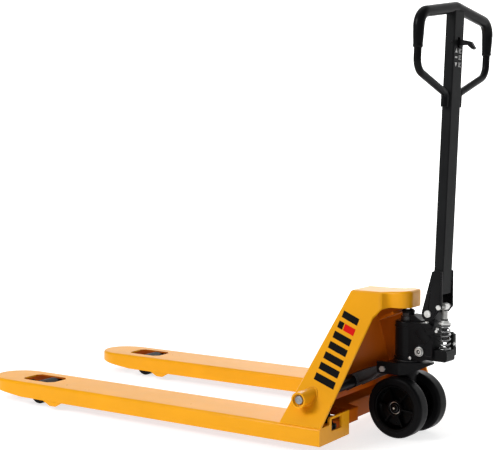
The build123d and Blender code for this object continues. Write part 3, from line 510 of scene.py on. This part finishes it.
def build_head_shell():
    """Side plates, front plate, top and pump head as one folded and welded sheet."""
    shape = bmesh.new()
    near, near_low, near_high = shell_half(shape, -1)
    far, far_low, far_high = shell_half(shape, 1)
    folds = []
    for verts, low, high in ((near, near_low, near_high), (far, far_low, far_high)):
        shape.faces.new((verts["front_foot"], verts["rear_foot"], verts["shoulder"],
                         low[0], high[0], verts["top_front"]))
        for index in range(len(low) - 1):
            shape.faces.new((high[index], low[index], low[index + 1], high[index + 1]))
        folds += [(verts["front_foot"], verts["top_front"]), (verts["top_front"], high[0]),
                  (low[0], high[0])]
        folds += list(zip(high, high[1:]))
    shape.faces.new((near_high[-1], near_low[-1], far_low[-1], far_high[-1]))
    folds.append((near_high[-1], far_high[-1]))
    shape.faces.new((near["top_front"], near_high[0], far_high[0], far["top_front"]))
    shape.faces.new((*near_high, *far_high[::-1]))
    lean = (TOP_FRONT_X - SIDE_FRONT_X) / (TOP_Z - FOOT_Z)
    skirt_x = SIDE_FRONT_X - lean * (FOOT_Z - SKIRT_Z)
    skirt = [shape.verts.new(corner) for corner in (
        (SIDE_FRONT_X, -SKIRT_Y, SHELL_FOOT_Z), (skirt_x, -SKIRT_Y, SKIRT_Z),
        (skirt_x, SKIRT_Y, SKIRT_Z), (SIDE_FRONT_X, SKIRT_Y, SHELL_FOOT_Z))]
    shape.faces.new((near["front_foot"], near["top_front"], far["top_front"],
                     far["front_foot"], *skirt[::-1]))
    folds.append((near["top_front"], far["top_front"]))
    bmesh.ops.recalc_face_normals(shape, faces=shape.faces)
    if max(shape.faces, key=lambda f: f.calc_center_median().z).normal.z < 0:
        bmesh.ops.reverse_faces(shape, faces=shape.faces)
    edges = [shape.edges.get(pair) for pair in folds]
    bmesh.ops.bevel(shape, geom=[edge for edge in edges if edge], offset=FOLD_RADIUS,
                    segments=FOLD_SEGMENTS, profile=0.5, affect="EDGES", clamp_overlap=True)
    shell = new_object("head_shell", shape, ORANGE, ORANGE_PAINTED_SHADE)
    smooth_up_to(shell, SHELL_SHARP)
    thick = shell.modifiers.new("sheet", "SOLIDIFY")
    thick.thickness = PLATE
    thick.offset = -1
    thick.use_even_offset = True
    # the sheet's inner faces get the orange with painted shade
    thick.material_offset = 1
    roll_edges(shell, SHELL_EDGE, 2, SHELL_EDGE_ANGLE)
    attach(shell, "frame")
    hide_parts("side_plate_left", "side_plate_right", "front_plate", "top_plate",
                "pump_head")


def side_place(side):
    """Place on a side plate's outer face: x rearwards, y up the slope, z outwards."""
    slope = Vector((0, -side * (FOOT_Y - TOP_Y), TOP_Z - FOOT_Z)).normalized()
    out = along_forks.cross(slope)
    if out.y * side < 0:
        out = -out
    return axes(Vector((0, side * FOOT_Y, FOOT_Z)), along_forks, slope, out)


FILM_LOW, FILM_HIGH = 0.00005, 0.00035
BAR_FOOT, BAR_STEP, BAR_HEIGHT, BAR_SLANT = 0.122, 0.0335, 0.0215, -0.012
BAR_HALVES = (0.034, 0.033, 0.032, 0.031, 0.030, 0.029, 0.028)
RED_INDEX, BLACK_END, RED_START = 5, -0.377, -0.277


def slanted_bar(shape, place, index, start, end):
    """Part of a bar of the side plate from start to end, each -1..1 across the band."""
    v = BAR_FOOT + index * BAR_STEP
    middle = HEEL_X - 0.037 + 0.0045 * index / 6
    low, high = middle + BAR_HALVES[index] * start, middle + BAR_HALVES[index] * end
    low_v, high_v = v + BAR_SLANT * start, v + BAR_SLANT * end
    prism(shape, [(low, low_v), (high, high_v), (high, high_v + BAR_HEIGHT),
                  (low, low_v + BAR_HEIGHT)], FILM_LOW, FILM_HIGH, place)


def build_decals():
    """Plain slanted bars up each side plate, with one small red bar."""
    for word, side in SIDES.items():
        place = side_place(side)
        black, red = bmesh.new(), bmesh.new()
        for index in range(len(BAR_HALVES)):
            if index == RED_INDEX:
                slanted_bar(black, place, index, -1, BLACK_END)
                slanted_bar(red, place, index, RED_START, 1)
            else:
                slanted_bar(black, place, index, -1, 1)
        add_piece(f"stripes_{word}", black, DECAL_BLACK, "frame", sharp=20)
        add_piece(f"red_bar_{word}", red, DECAL_RED, "frame", sharp=20)


def frame_bead(name, start, end):
    weld(name, [Vector(start), Vector(end)], FRAME_BEAD, ORANGE, "frame")


def add_cross_end(word, side, fork_top):
    """Plate that closes the open end of the cross member beside a fork, in the darker orange of painted shade."""
    low, high = node_box("cross_member")
    rail = axes(Vector((0, side * (high.y + 0.0012), 0)), along_forks, up, Vector((0, -1, 0)))
    low_x, high_x, top_z = low.x + 0.003, HEEL_X - PLATE, fork_top + 0.0185
    shape = bmesh.new()
    prism(shape, [(low_x, fork_top), (high_x, fork_top), (high_x, top_z), (low_x, top_z)],
          -0.0015, 0.0015, rail)
    add_piece(f"cross_end_{word}", shape, ORANGE_PAINTED_SHADE, "frame", sharp=30,
              bevel=0.0006)


def build_frame_welds():
    """Beads at the feet of the side and front plates and round the bosses, and the
    end plates of the cross member."""
    fork_top = node_box("fork_left")[1].z
    bead_z = fork_top + BEAD_LIFT
    inner, outer, front_x = 0.186, 0.330, SIDE_FRONT_X + 0.001
    shaft = joint_place("rocker")
    for word, side in SIDES.items():
        foot_y = side * (side_y(SHELL_FOOT_Z) - 0.005)
        frame_bead(f"foot_weld_{word}", (SIDE_FRONT_X + 0.004, foot_y, bead_z),
                   (SIDE_REAR_X - 0.004, foot_y, bead_z))
        frame_bead(f"front_weld_{word}", (front_x, side * inner, bead_z),
                   (front_x, side * outer, bead_z))
        add_cross_end(word, side, fork_top)
        ring = []
        for x, z in arc((shaft.x, shaft.z), BOSS_RADIUS, 0, 360, 40):
            ring.append(Vector((x, side * (side_y(z) + 0.0005), z)))
        weld(f"boss_weld_{word}", ring, BOSS_BEAD, ORANGE, "frame")


# ------------------------------------------------------------------ wheels
WHEEL_RADIUS = joint_place("steer_wheel_left").z
WHEEL_INNER, WHEEL_OUTER = 0.031, 0.073
WHEEL_MIDDLE = (WHEEL_INNER + WHEEL_OUTER) / 2
RIM_RADIUS, HUB_RADIUS, BORE_RADIUS = 0.064, 0.023, 0.0178
TYRE_SHOULDER, TYRE_CORNER, TREAD_HALF = 0.0755, 0.0075, 0.006
RIBS, RIB_HALF, FIRST_RIB_ANGLE = 6, 0.0022, 7


def tyre_profile():
    """Section of the tyre as (along the axle, radius), with a groove in its outer face."""
    low, high = WHEEL_INNER, WHEEL_OUTER
    corner_low, corner_high = low + TYRE_CORNER, high - TYRE_CORNER
    corner_radius = WHEEL_RADIUS - TYRE_CORNER
    inner = arc((corner_low, corner_radius), TYRE_CORNER, 165, 90, 5)
    outer = arc((corner_high, corner_radius), TYRE_CORNER, 90, 15, 5)
    return [(low, RIM_RADIUS), (low, TYRE_SHOULDER), *inner,
            (WHEEL_MIDDLE - TREAD_HALF, WHEEL_RADIUS), (WHEEL_MIDDLE + TREAD_HALF, WHEEL_RADIUS),
            *outer, (high, TYRE_SHOULDER), (high - 0.0008, TYRE_SHOULDER - 0.003),
            (high, TYRE_SHOULDER - 0.006), (high, RIM_RADIUS)]


def rim_shape(place):
    """Dished rim with a hub and ribs on both faces of its web."""
    low, high = WHEEL_INNER + 0.001, WHEEL_OUTER - 0.001
    web_low, web_high = WHEEL_MIDDLE - 0.003, WHEEL_MIDDLE + 0.003
    shape = bmesh.new()
    ring_lathe(shape, [
        (low, RIM_RADIUS), (low, RIM_RADIUS - 0.005), (low + 0.0015, RIM_RADIUS - 0.0065),
        (web_low - 0.004, RIM_RADIUS - 0.0095), (web_low, RIM_RADIUS - 0.0135),
        (web_low, HUB_RADIUS + 0.004), (web_low - 0.004, HUB_RADIUS + 0.0005),
        (low + 0.001, HUB_RADIUS), (low, HUB_RADIUS - 0.001), (low, BORE_RADIUS),
        (high, BORE_RADIUS), (high, HUB_RADIUS - 0.001), (high - 0.001, HUB_RADIUS),
        (web_high + 0.004, HUB_RADIUS + 0.0005), (web_high, HUB_RADIUS + 0.004),
        (web_high, RIM_RADIUS - 0.0135), (web_high + 0.004, RIM_RADIUS - 0.0095),
        (high - 0.0015, RIM_RADIUS - 0.0065), (high, RIM_RADIUS - 0.005), (high, RIM_RADIUS),
    ], place, 128)
    upright = axes(Vector((0, 0, 0)), Vector((1, 0, 0)), Vector((0, 0, 1)), Vector((0, -1, 0)))
    inner, outer = HUB_RADIUS - 0.001, RIM_RADIUS - 0.006
    for rib in range(RIBS):
        # each rib stands out from the web and gets lower towards the rim
        turn = Matrix.Rotation(math.radians(360 / RIBS * rib + FIRST_RIB_ANGLE), 4, "Z")
        for base, tip in ((web_high - 0.001, high - 0.003), (web_low + 0.001, low + 0.003)):
            outline = [(inner, base), (outer, base), (outer, tip - (tip - base) * 0.30),
                       (inner, tip)]
            prism(shape, outline, -RIB_HALF, RIB_HALF, place @ turn @ upright)
    return shape


def build_steer_wheels():
    """Turned tyres, ribbed rims, and the caps and tips of their axle."""
    for word, side in SIDES.items():
        place = facing(steer_foot + up * WHEEL_RADIUS, across * side)
        body = f"steer_wheel_{word}"
        tyre = bmesh.new()
        ring_lathe(tyre, tyre_profile(), place, 128)
        add_piece(f"tyre_{word}_detail", tyre, TYRE, body, [f"tyre_{word}"], 40)
        add_piece(f"rim_{word}_detail", rim_shape(place), WHEEL, body,
                  [f"wheel_rim_{word}"], 32, 0.0006)
        cap, tip = bmesh.new(), bmesh.new()
        base = WHEEL_OUTER - 0.0055
        lathe(cap, [(base, 0.0), (base, 0.0150), (base + 0.0016, 0.0150),
                    (base + 0.0020, 0.0140), (base + 0.0022, 0.0095), (base + 0.0062, 0.0088),
                    (base + 0.0070, 0.0078), (base + 0.0070, 0.0)], place, 48)
        add_piece(f"axle_cap_{word}", cap, WHEEL, "pump_unit",
                  ["axle_rings"] if side < 0 else (), sharp=30)
        lathe(tip, [(base + 0.0068, 0.0), (base + 0.0068, 0.0030), (base + 0.0074, 0.0026),
                    (base + 0.0075, 0.0)], place, 24)
        add_piece(f"axle_tip_{word}", tip, ZINC, "pump_unit", sharp=30)


# ------------------------------------------------------------------ pump
COIL_WIRE, COIL_TURNS, COIL_STEPS = 0.0021, 7.0, 30
CLOSED_TURNS = 0.8
THREAD_PITCH, THREAD_ROOT, THREAD_CREST = 0.0028, 0.0076, 0.0087
# distances of the casting's flat sides and of the plugs' seats from the pump's middle
PUMP_WALL_Y, PLUG_Y = 0.0308, 0.0312
PLUG_X, PLUG_Z = 0.053, 0.240


def build_pump_spring():
    """The coil over the plunger, with closed end turns, and the plunger's threaded stem."""
    low, high = node_box("pump_spring")
    middle = Vector(((low.x + high.x) / 2, (low.y + high.y) / 2, 0))
    radius = (high.x - low.x) / 2 - COIL_WIRE
    bottom, top = low.z + COIL_WIRE, high.z - COIL_WIRE
    points = []
    for step in range(int(COIL_TURNS * COIL_STEPS) + 1):
        turn = step / COIL_STEPS
        share = min(1.0, max(0.0, (turn - CLOSED_TURNS) / (COIL_TURNS - 2 * CLOSED_TURNS)))
        z = bottom + (top - bottom) * share
        angle = math.tau * turn
        points.append(middle + Vector((radius * math.cos(angle), radius * math.sin(angle), z)))
    shape = bmesh.new()
    sweep(shape, points, lambda share: COIL_WIRE, 12)
    spring = add_piece("pump_spring_coil", shape, SPRING, "pump_unit", ["pump_spring"], 60)
    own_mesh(spring)
    stem_low = node_box("spring_cap")[1].z - 0.001
    stem_high = node_box("plunger")[1].z - 0.0005
    profile = [(stem_low, 0.0), (stem_low, 0.0078)]
    z = stem_low + 0.0015
    while z + THREAD_PITCH < stem_high - 0.002:
        profile += [(z, THREAD_ROOT), (z + THREAD_PITCH * 0.45, THREAD_CREST),
                    (z + THREAD_PITCH * 0.55, THREAD_CREST)]
        z += THREAD_PITCH
    profile += [(stem_high, 0.0072), (stem_high, 0.0)]
    shape = bmesh.new()
    lathe(shape, profile, Matrix.Translation(middle), 40)
    add_piece("plunger_stem", shape, ZINC, "plunger", sharp=50)


def rounded_box(shape, place, size, corner=0.003, segments=3):
    """Box with its base at z = 0 of the place and all its edges rounded."""
    part = bmesh.new()
    bmesh.ops.create_cube(part, size=1)
    bmesh.ops.scale(part, vec=size, verts=part.verts)
    bmesh.ops.translate(part, vec=(0, 0, size[2] / 2), verts=part.verts)
    bmesh.ops.bevel(part, geom=part.edges[:], offset=corner, segments=segments, profile=0.5,
                    affect="EDGES")
    bmesh.ops.transform(part, matrix=place, verts=part.verts)
    lookup = {vert: shape.verts.new(vert.co) for vert in part.verts}
    for polygon in part.faces:
        shape.faces.new([lookup[vert] for vert in polygon.verts])
    part.free()


def build_pump_fasteners():
    """Near side's plug with its socket and small screw, the filler screw, a far screw."""
    shape = bmesh.new()
    plug = facing(steer_at(PLUG_X, -PLUG_Y, PLUG_Z), -across)
    lathe(shape, [(0, 0), (0, 0.0128), (0.0018, 0.0134), (0.0040, 0.0128), (0.0046, 0.0118),
                  (0.0046, 0.0104), (0.0070, 0.0100), (0.0078, 0.0092), (0.0078, 0.0064),
                  (0.0042, 0.0060), (0.0042, 0)], plug, 48)
    small = facing(steer_at(0.024, -PLUG_Y, 0.219), -across)
    lathe(shape, [(0, 0), (0, 0.0044), (0.0022, 0.0040), (0.0027, 0.0030), (0.0027, 0)],
          small, 24)
    add_piece("pump_plugs_detail", shape, ZINC, "pump_unit", ["pump_plugs"], 30)
    shape = bmesh.new()
    for low, high, inner, outer in ((0.0043, 0.0046, 0.0026, 0.0058),
                                    (0.0047, 0.0051, 0.0106, 0.0114)):
        ring_lathe(shape, [(low, inner), (high, inner), (high, outer), (low, outer)], plug, 40)
    add_piece("plug_socket", shape, BLACK, "pump_unit", sharp=30)
    shape = bmesh.new()
    filler = axes(steer_at(0.070, -0.020, 0.3176), rearward, across, up)
    hex_head(shape, filler, 0.0055, 0.0042, 0.0072)
    far = facing(steer_at(0.056, PLUG_Y, 0.262), across)
    hex_head(shape, far, 0.0092, 0.0065, 0.0120)
    add_piece("pump_screws", shape, ZINC, "pump_unit", sharp=30)


def build_pump_casting():
    """Cast features of the pump: rings, pads, bosses, plates, the gland's collar and the
    shoulder beside the ram."""
    shape = bmesh.new()
    body = axes(steer_at(0, 0, 0), rearward, across, up)
    for low, high, radius in ((0.2115, 0.219, 0.0385), (0.300, 0.306, 0.0372)):
        lathe(shape, [(low, 0.034), (low, radius - 0.001), (low + 0.0012, radius),
                      (high - 0.0012, radius), (high, radius - 0.001), (high, 0.034)], body, 96)
    for side in SIDES.values():
        wall = side * PUMP_WALL_Y
        pad = facing(steer_at(0.062, wall, 0.286), across * side)
        rounded_box(shape, pad, (0.030, 0.044, 0.0022), 0.001)
        boss = facing(steer_at(PLUG_X, wall, PLUG_Z), across * side)
        lathe(shape, [(-0.001, 0), (-0.001, 0.0185), (0.0008, 0.0180), (0.0014, 0.0168),
                      (0.0014, 0)], boss, 56)
    for z, size, corner in ((0.3135, (0.066, 0.0625, 0.0055), 0.002),
                            (0.2275, (0.0785, 0.0640, 0.004), 0.0015)):
        plate = axes(steer_at(0.052, 0, z), rearward, across, up)
        rounded_box(shape, plate, size, corner)
    gland = node_box("ram_gland")[1].z
    lathe(shape, [(gland - 0.001, 0.0126), (gland - 0.001, 0.0180), (gland + 0.0050, 0.0180),
                  (gland + 0.0062, 0.0168), (gland + 0.0062, 0.0152), (gland + 0.0100, 0.0146),
                  (gland + 0.0100, 0.0126)], body, 56)
    add_piece("pump_casting", shape, BLACK, "pump_unit", sharp=30)
    shape = bmesh.new()
    side_view = axes(steer_foot, rearward, up, -across)
    prism(shape, [(0.0135, 0.3175), (0.055, 0.3175), (0.054, 0.3225), (0.044, 0.3260),
                  (0.031, 0.3345), (0.025, 0.3365), (0.0135, 0.3365)], -0.019, 0.019, side_view)
    add_piece("pump_shoulder", shape, BLACK, "pump_unit", sharp=30,
              bevel=0.0016, segments=3)


def build_valve():
    """Lowering valve beside the spring, with its cap and adjusting screw."""
    low, high = node_box("valve_block")
    middle = steer_at(0.1145, 0.033, 0)
    middle.z = low.z
    place = axes(middle, rearward, across, up)
    height = high.z - low.z - 0.005
    shape = bmesh.new()
    rounded_box(shape, place, (0.0245, 0.0205, height * 0.42), 0.0028)
    rounded_box(shape, place @ Matrix.Translation((0.0006, 0, height * 0.40)),
                (0.0215, 0.0190, height * 0.60), 0.0036)
    cap = place @ Matrix.Translation((0, 0, height - 0.001))
    lathe(shape, [(0, 0), (0, 0.0078), (0.0030, 0.0078), (0.0044, 0.0066), (0.0050, 0.0040),
                  (0.0050, 0)], cap, 32)
    add_piece("valve_block_detail", shape, BLACK, "pump_unit", ["valve_block"], 30)
    shape = bmesh.new()
    hex_head(shape, facing(steer_at(0.126, 0.027, 0.262), rearward), 0.0036, 0.0022, 0.0046)
    adjuster = facing(steer_at(0.1265, 0.036, 0.245), rearward)
    lathe(shape, [(-0.010, 0.0022), (0.0, 0.0022), (0.0, 0.0)], adjuster, 20)
    add_piece("valve_screws", shape, ZINC, "pump_unit", sharp=30)


def build_release_arm():
    """Flat arm that opens the valve, with a bolt and a ball-headed stud on its tip."""
    arm_y, run, rise, taper = -0.0335, 0.024, 0.005, 4
    pivot, tip = steer_at(0.084, arm_y, 0.297), steer_at(0.084 + run, arm_y, 0.297 + rise)
    place = axes(Vector((0, 0, 0)), rearward, up, -across)
    shape = bmesh.new()
    outline = []
    lean = math.degrees(math.atan2(rise, run))
    ends = ((pivot, 0.008, 90 + lean + taper, 270 + lean - taper),
            (tip, 0.005, -90 + lean + taper, 90 + lean - taper))
    for centre, radius, start, end in ends:
        local = place.inverted() @ centre
        outline += arc((local.x, local.y), radius, start, end, 16)
    face_z = (place.inverted() @ tip).z
    prism(shape, outline, face_z + 0.0002, face_z + 0.0038, place)
    add_piece("release_arm_detail", shape, BLACK, "release_arm", ["release_arm"],
              30, 0.0005)
    shape = bmesh.new()
    hex_head(shape, facing(tip - across * 0.0036, -across), 0.0042, 0.0030)
    stud = facing(tip - across * 0.002, rearward * 0.25 + up)
    lathe(shape, [(0.0, 0.0), (0.0, 0.0026), (0.0045, 0.0026), (0.0050, 0.0040), (0.0070, 0.0044),
                  (0.0090, 0.0038), (0.0095, 0.0)], stud, 24)
    add_piece("release_arm_bolt", shape, ZINC, "release_arm", sharp=30)


# ------------------------------------------------------------------ tiller
LOOP_HALF, LOOP_END, LOOP_SHOULDER, LOOP_TOP = 0.188, 0.565, 0.653, 0.682
LOOP_BEND = 0.04
# distance from an end of the grip, and its radius there
GRIP_STEPS = ((0.0, 0.0108), (0.0012, 0.0126), (0.004, 0.0130), (0.006, 0.0130),
              (0.0085, 0.0124), (0.030, 0.0138), (0.060, 0.0149), (9.0, 0.0149))
SIGN_LOW, SIGN_HIGH = 0.00005, 0.0003


def build_tiller_pins():
    """Round heads of the pivot pin and of the roller's axle, and caps on the lever's pin."""
    pivot = joint_place("tiller")
    roller = joint_place("tiller_roller")
    shape = bmesh.new()
    for side in SIDES.values():
        for centre, head, height in ((pivot, 0.0098, 0.0042), (roller, 0.0062, 0.0036)):
            start = Vector(centre)
            off_middle = (start - steer_at(0, 0, start.z)).dot(across)
            start += across * (side * (CHEEK_HALF + 0.0001) - off_middle)
            place = facing(start, across * side)
            lathe(shape, [(-0.004, 0.004), (0, 0.004), (0, head), (height * 0.55, head),
                          (height * 0.85, head * 0.9), (height, head * 0.72),
                          (height * 0.99, head * 0.3), (height * 0.85, 0)], place, 48)
    add_piece("pin_heads", shape, ZINC, "tiller", sharp=40)
    shape = bmesh.new()
    for side in SIDES.values():
        centre = tube_at(side * TUBE_WIDTH / 2, 0.590, TUBE_DEPTH / 2 - 0.006)
        place = facing(centre, across * side)
        lathe(shape, [(0.0, 0.0044), (0.0009, 0.0040), (0.0015, 0.0026), (0.0017, 0.0)], place, 32)
    add_piece("lever_pin_caps", shape, BLACK, "tiller", sharp=50)


def build_grips():
    """Rubber grip over the handle's top, with tapered ends and a lip."""
    corners = [tube_at(-LOOP_HALF, LOOP_END), tube_at(-LOOP_HALF, LOOP_SHOULDER),
               tube_at(0, LOOP_TOP), tube_at(LOOP_HALF, LOOP_SHOULDER),
               tube_at(LOOP_HALF, LOOP_END)]
    dense = resample(rounded_path(corners, (LOOP_BEND,) * 3, 14), 0.003)
    length = sum((b - a).length for a, b in zip(dense, dense[1:]))

    def radius_at(share):
        reach = min(share, 1 - share) * length
        for (low, first), (high, second) in zip(GRIP_STEPS, GRIP_STEPS[1:]):
            if reach <= high:
                return first + (second - first) * (reach - low) / (high - low)

    shape = bmesh.new()
    sweep(shape, dense, radius_at, 40)
    add_piece("grip_detail", shape, GRIP, "tiller", ["handle_grip"], 60)


def build_sticker():
    """Plain pale signs below the lever: two triangles, a bar and thin lines."""
    place = axes(tube_at(0, 0.550, TUBE_DEPTH / 2), across, tube_axis, tube_back)
    shape = bmesh.new()

    def mark(*outline):
        prism(shape, outline, SIGN_LOW, SIGN_HIGH, place)

    def block(low_x, low, high_x, high):
        mark((low_x, low), (high_x, low), (high_x, high), (low_x, high))

    middle, half = -0.0115, 0.006
    mark((middle - half, 0.013), (middle + half, 0.013), (middle, 0.024))
    block(middle - half, -0.0015, middle + half, 0.0030)
    mark((middle - half, -0.0130), (middle, -0.0240), (middle + half, -0.0130))
    line_x, line_step, line_height = 0.002, 0.0032, 0.0013
    for centre in (0.018, 0.0008, -0.018):
        for row in range(4):
            low = centre - 0.0058 + row * line_step
            reach = 0.014 - 0.003 * ((row * 2) % 3)
            block(line_x, low, line_x + reach, low + line_height)
    add_piece("lever_signs", shape, PALE_FILM, "tiller", sharp=20)


def build_tiller_welds():
    """Beads where the handle's feet and the bracket meet the tube."""
    for word, side in SIDES.items():
        wall = side * (TUBE_WIDTH / 2 + 0.001)
        for face, back in (("front", -0.0075), ("rear", 0.0075)):
            weld(f"stub_weld_{word}_{face}",
                 [tube_at(wall, 0.422, back), tube_at(wall, 0.452, back)],
                 0.0018, TUBE, "tiller")
        top = tube_at(side * (TUBE_WIDTH / 2 + 0.0008), -0.0185, 0)
        weld(f"bracket_weld_{word}", [top - tube_back * 0.0115, top + tube_back * 0.0115],
             0.0022, BLACK, "tiller")


# ------------------------------------------------------------------ stage
WORLD_STRENGTH, SHEET_GLOW = 0.22, 0.74
DARKER_WHITE, LIGHTER_WHITE = (0.46, 0.46, 0.46), (0.50, 0.50, 0.50)
SHEET_SIDE, SHEET_FRONT, SHEET_REAR, SHEET_TOP = 14, -9, 6, 9
FLOOR_DROP = 0.0005
LENS, CAMERA_AZIMUTH, CAMERA_DIP = 83.08, 33.452, 4.143
CAMERA_BEHIND_HEEL, CAMERA_Y, CAMERA_Z = 1.4335, -2.850, 0.807
# name, place, point it looks at, width, power
LAMPS = (
    ("key", (-1.5, -3.6, 2.9), (0.0, 0.0, 0.2), 2.0, 148.0),
    ("top", (-0.3, 0.3, 3.9), (0.0, 0.0, 0.0), 3.0, 32.0),
    ("rim", (-1.2, 3.6, 2.6), (0.1, 0.0, 0.4), 1.6, 25.0),
    ("wall", (0.0, 2.8, 3.2), (0.0, 6.0, 0.8), 4.0, 420.0),
)


def build_stage():
    """White floor and backdrop, soft fill from all round and four large lamps."""
    white, nodes, links, shader = new_material("studio white")
    coords = nodes.new("ShaderNodeTexCoord").outputs["Object"]
    tone = ramp_node(nodes, links, noise_node(nodes, links, coords, 0.7),
                     [(DARK_STOP, DARKER_WHITE), (LIGHT_STOP, LIGHTER_WHITE)])
    links.new(tone, shader.inputs["Base Color"])
    shader.inputs["Roughness"].default_value = 0.9
    shader.inputs["Specular IOR Level"].default_value = 0.1
    shader.inputs["Emission Color"].default_value = (1, 1, 1, 1)
    shader.inputs["Emission Strength"].default_value = SHEET_GLOW
    for name, (start_y, start_z), (end_y, end_z) in (
        ("floor", (SHEET_FRONT, 0), (SHEET_REAR, 0)),
        ("backdrop", (SHEET_REAR, 0), (SHEET_REAR, SHEET_TOP)),
    ):
        shape = bmesh.new()
        corners = ((-SHEET_SIDE, start_y, start_z), (SHEET_SIDE, start_y, start_z),
                   (SHEET_SIDE, end_y, end_z), (-SHEET_SIDE, end_y, end_z))
        shape.faces.new([shape.verts.new(corner) for corner in corners])
        bmesh.ops.subdivide_edges(shape, edges=shape.edges, cuts=3, use_grid_fill=True)
        sheet = new_object(name, shape, white)
        sheet.location.z = -FLOOR_DROP

    world = bpy.data.worlds.new("studio")
    bpy.context.scene.world = world
    world.use_nodes = True
    background = world.node_tree.nodes["Background"]
    background.inputs["Color"].default_value = (1, 1, 1, 1)
    background.inputs["Strength"].default_value = WORLD_STRENGTH
    for name, place, aim, size, power in LAMPS:
        lamp = bpy.data.lights.new(name, "AREA")
        lamp.size = size
        lamp.energy = power
        lamp_object = bpy.data.objects.new(name, lamp)
        bpy.context.collection.objects.link(lamp_object)
        lamp_object.location = place
        view = Vector(aim) - Vector(place)
        lamp_object.rotation_euler = view.to_track_quat("-Z", "Y").to_euler()
    bpy.context.scene.view_settings.view_transform = "Standard"


def build_camera():
    """The photo's view of the truck."""
    camera = bpy.data.cameras.new("camera")
    camera.sensor_width = 36.0
    camera.lens = LENS
    camera_object = bpy.data.objects.new("camera", camera)
    bpy.context.collection.objects.link(camera_object)
    camera_object.location = (HEEL_X + CAMERA_BEHIND_HEEL, CAMERA_Y, CAMERA_Z)
    camera_object.rotation_euler = (math.pi / 2 - math.radians(CAMERA_DIP), 0,
                                    math.radians(CAMERA_AZIMUTH))
    bpy.context.scene.camera = camera_object


dress_cad_nodes()
build_head_shell()
build_decals()
build_frame_welds()
build_steer_wheels()
build_pump_spring()
build_pump_fasteners()
build_pump_casting()
build_valve()
build_release_arm()
build_tiller_pins()
build_grips()
build_sticker()
build_tiller_welds()
build_stage()
build_camera()
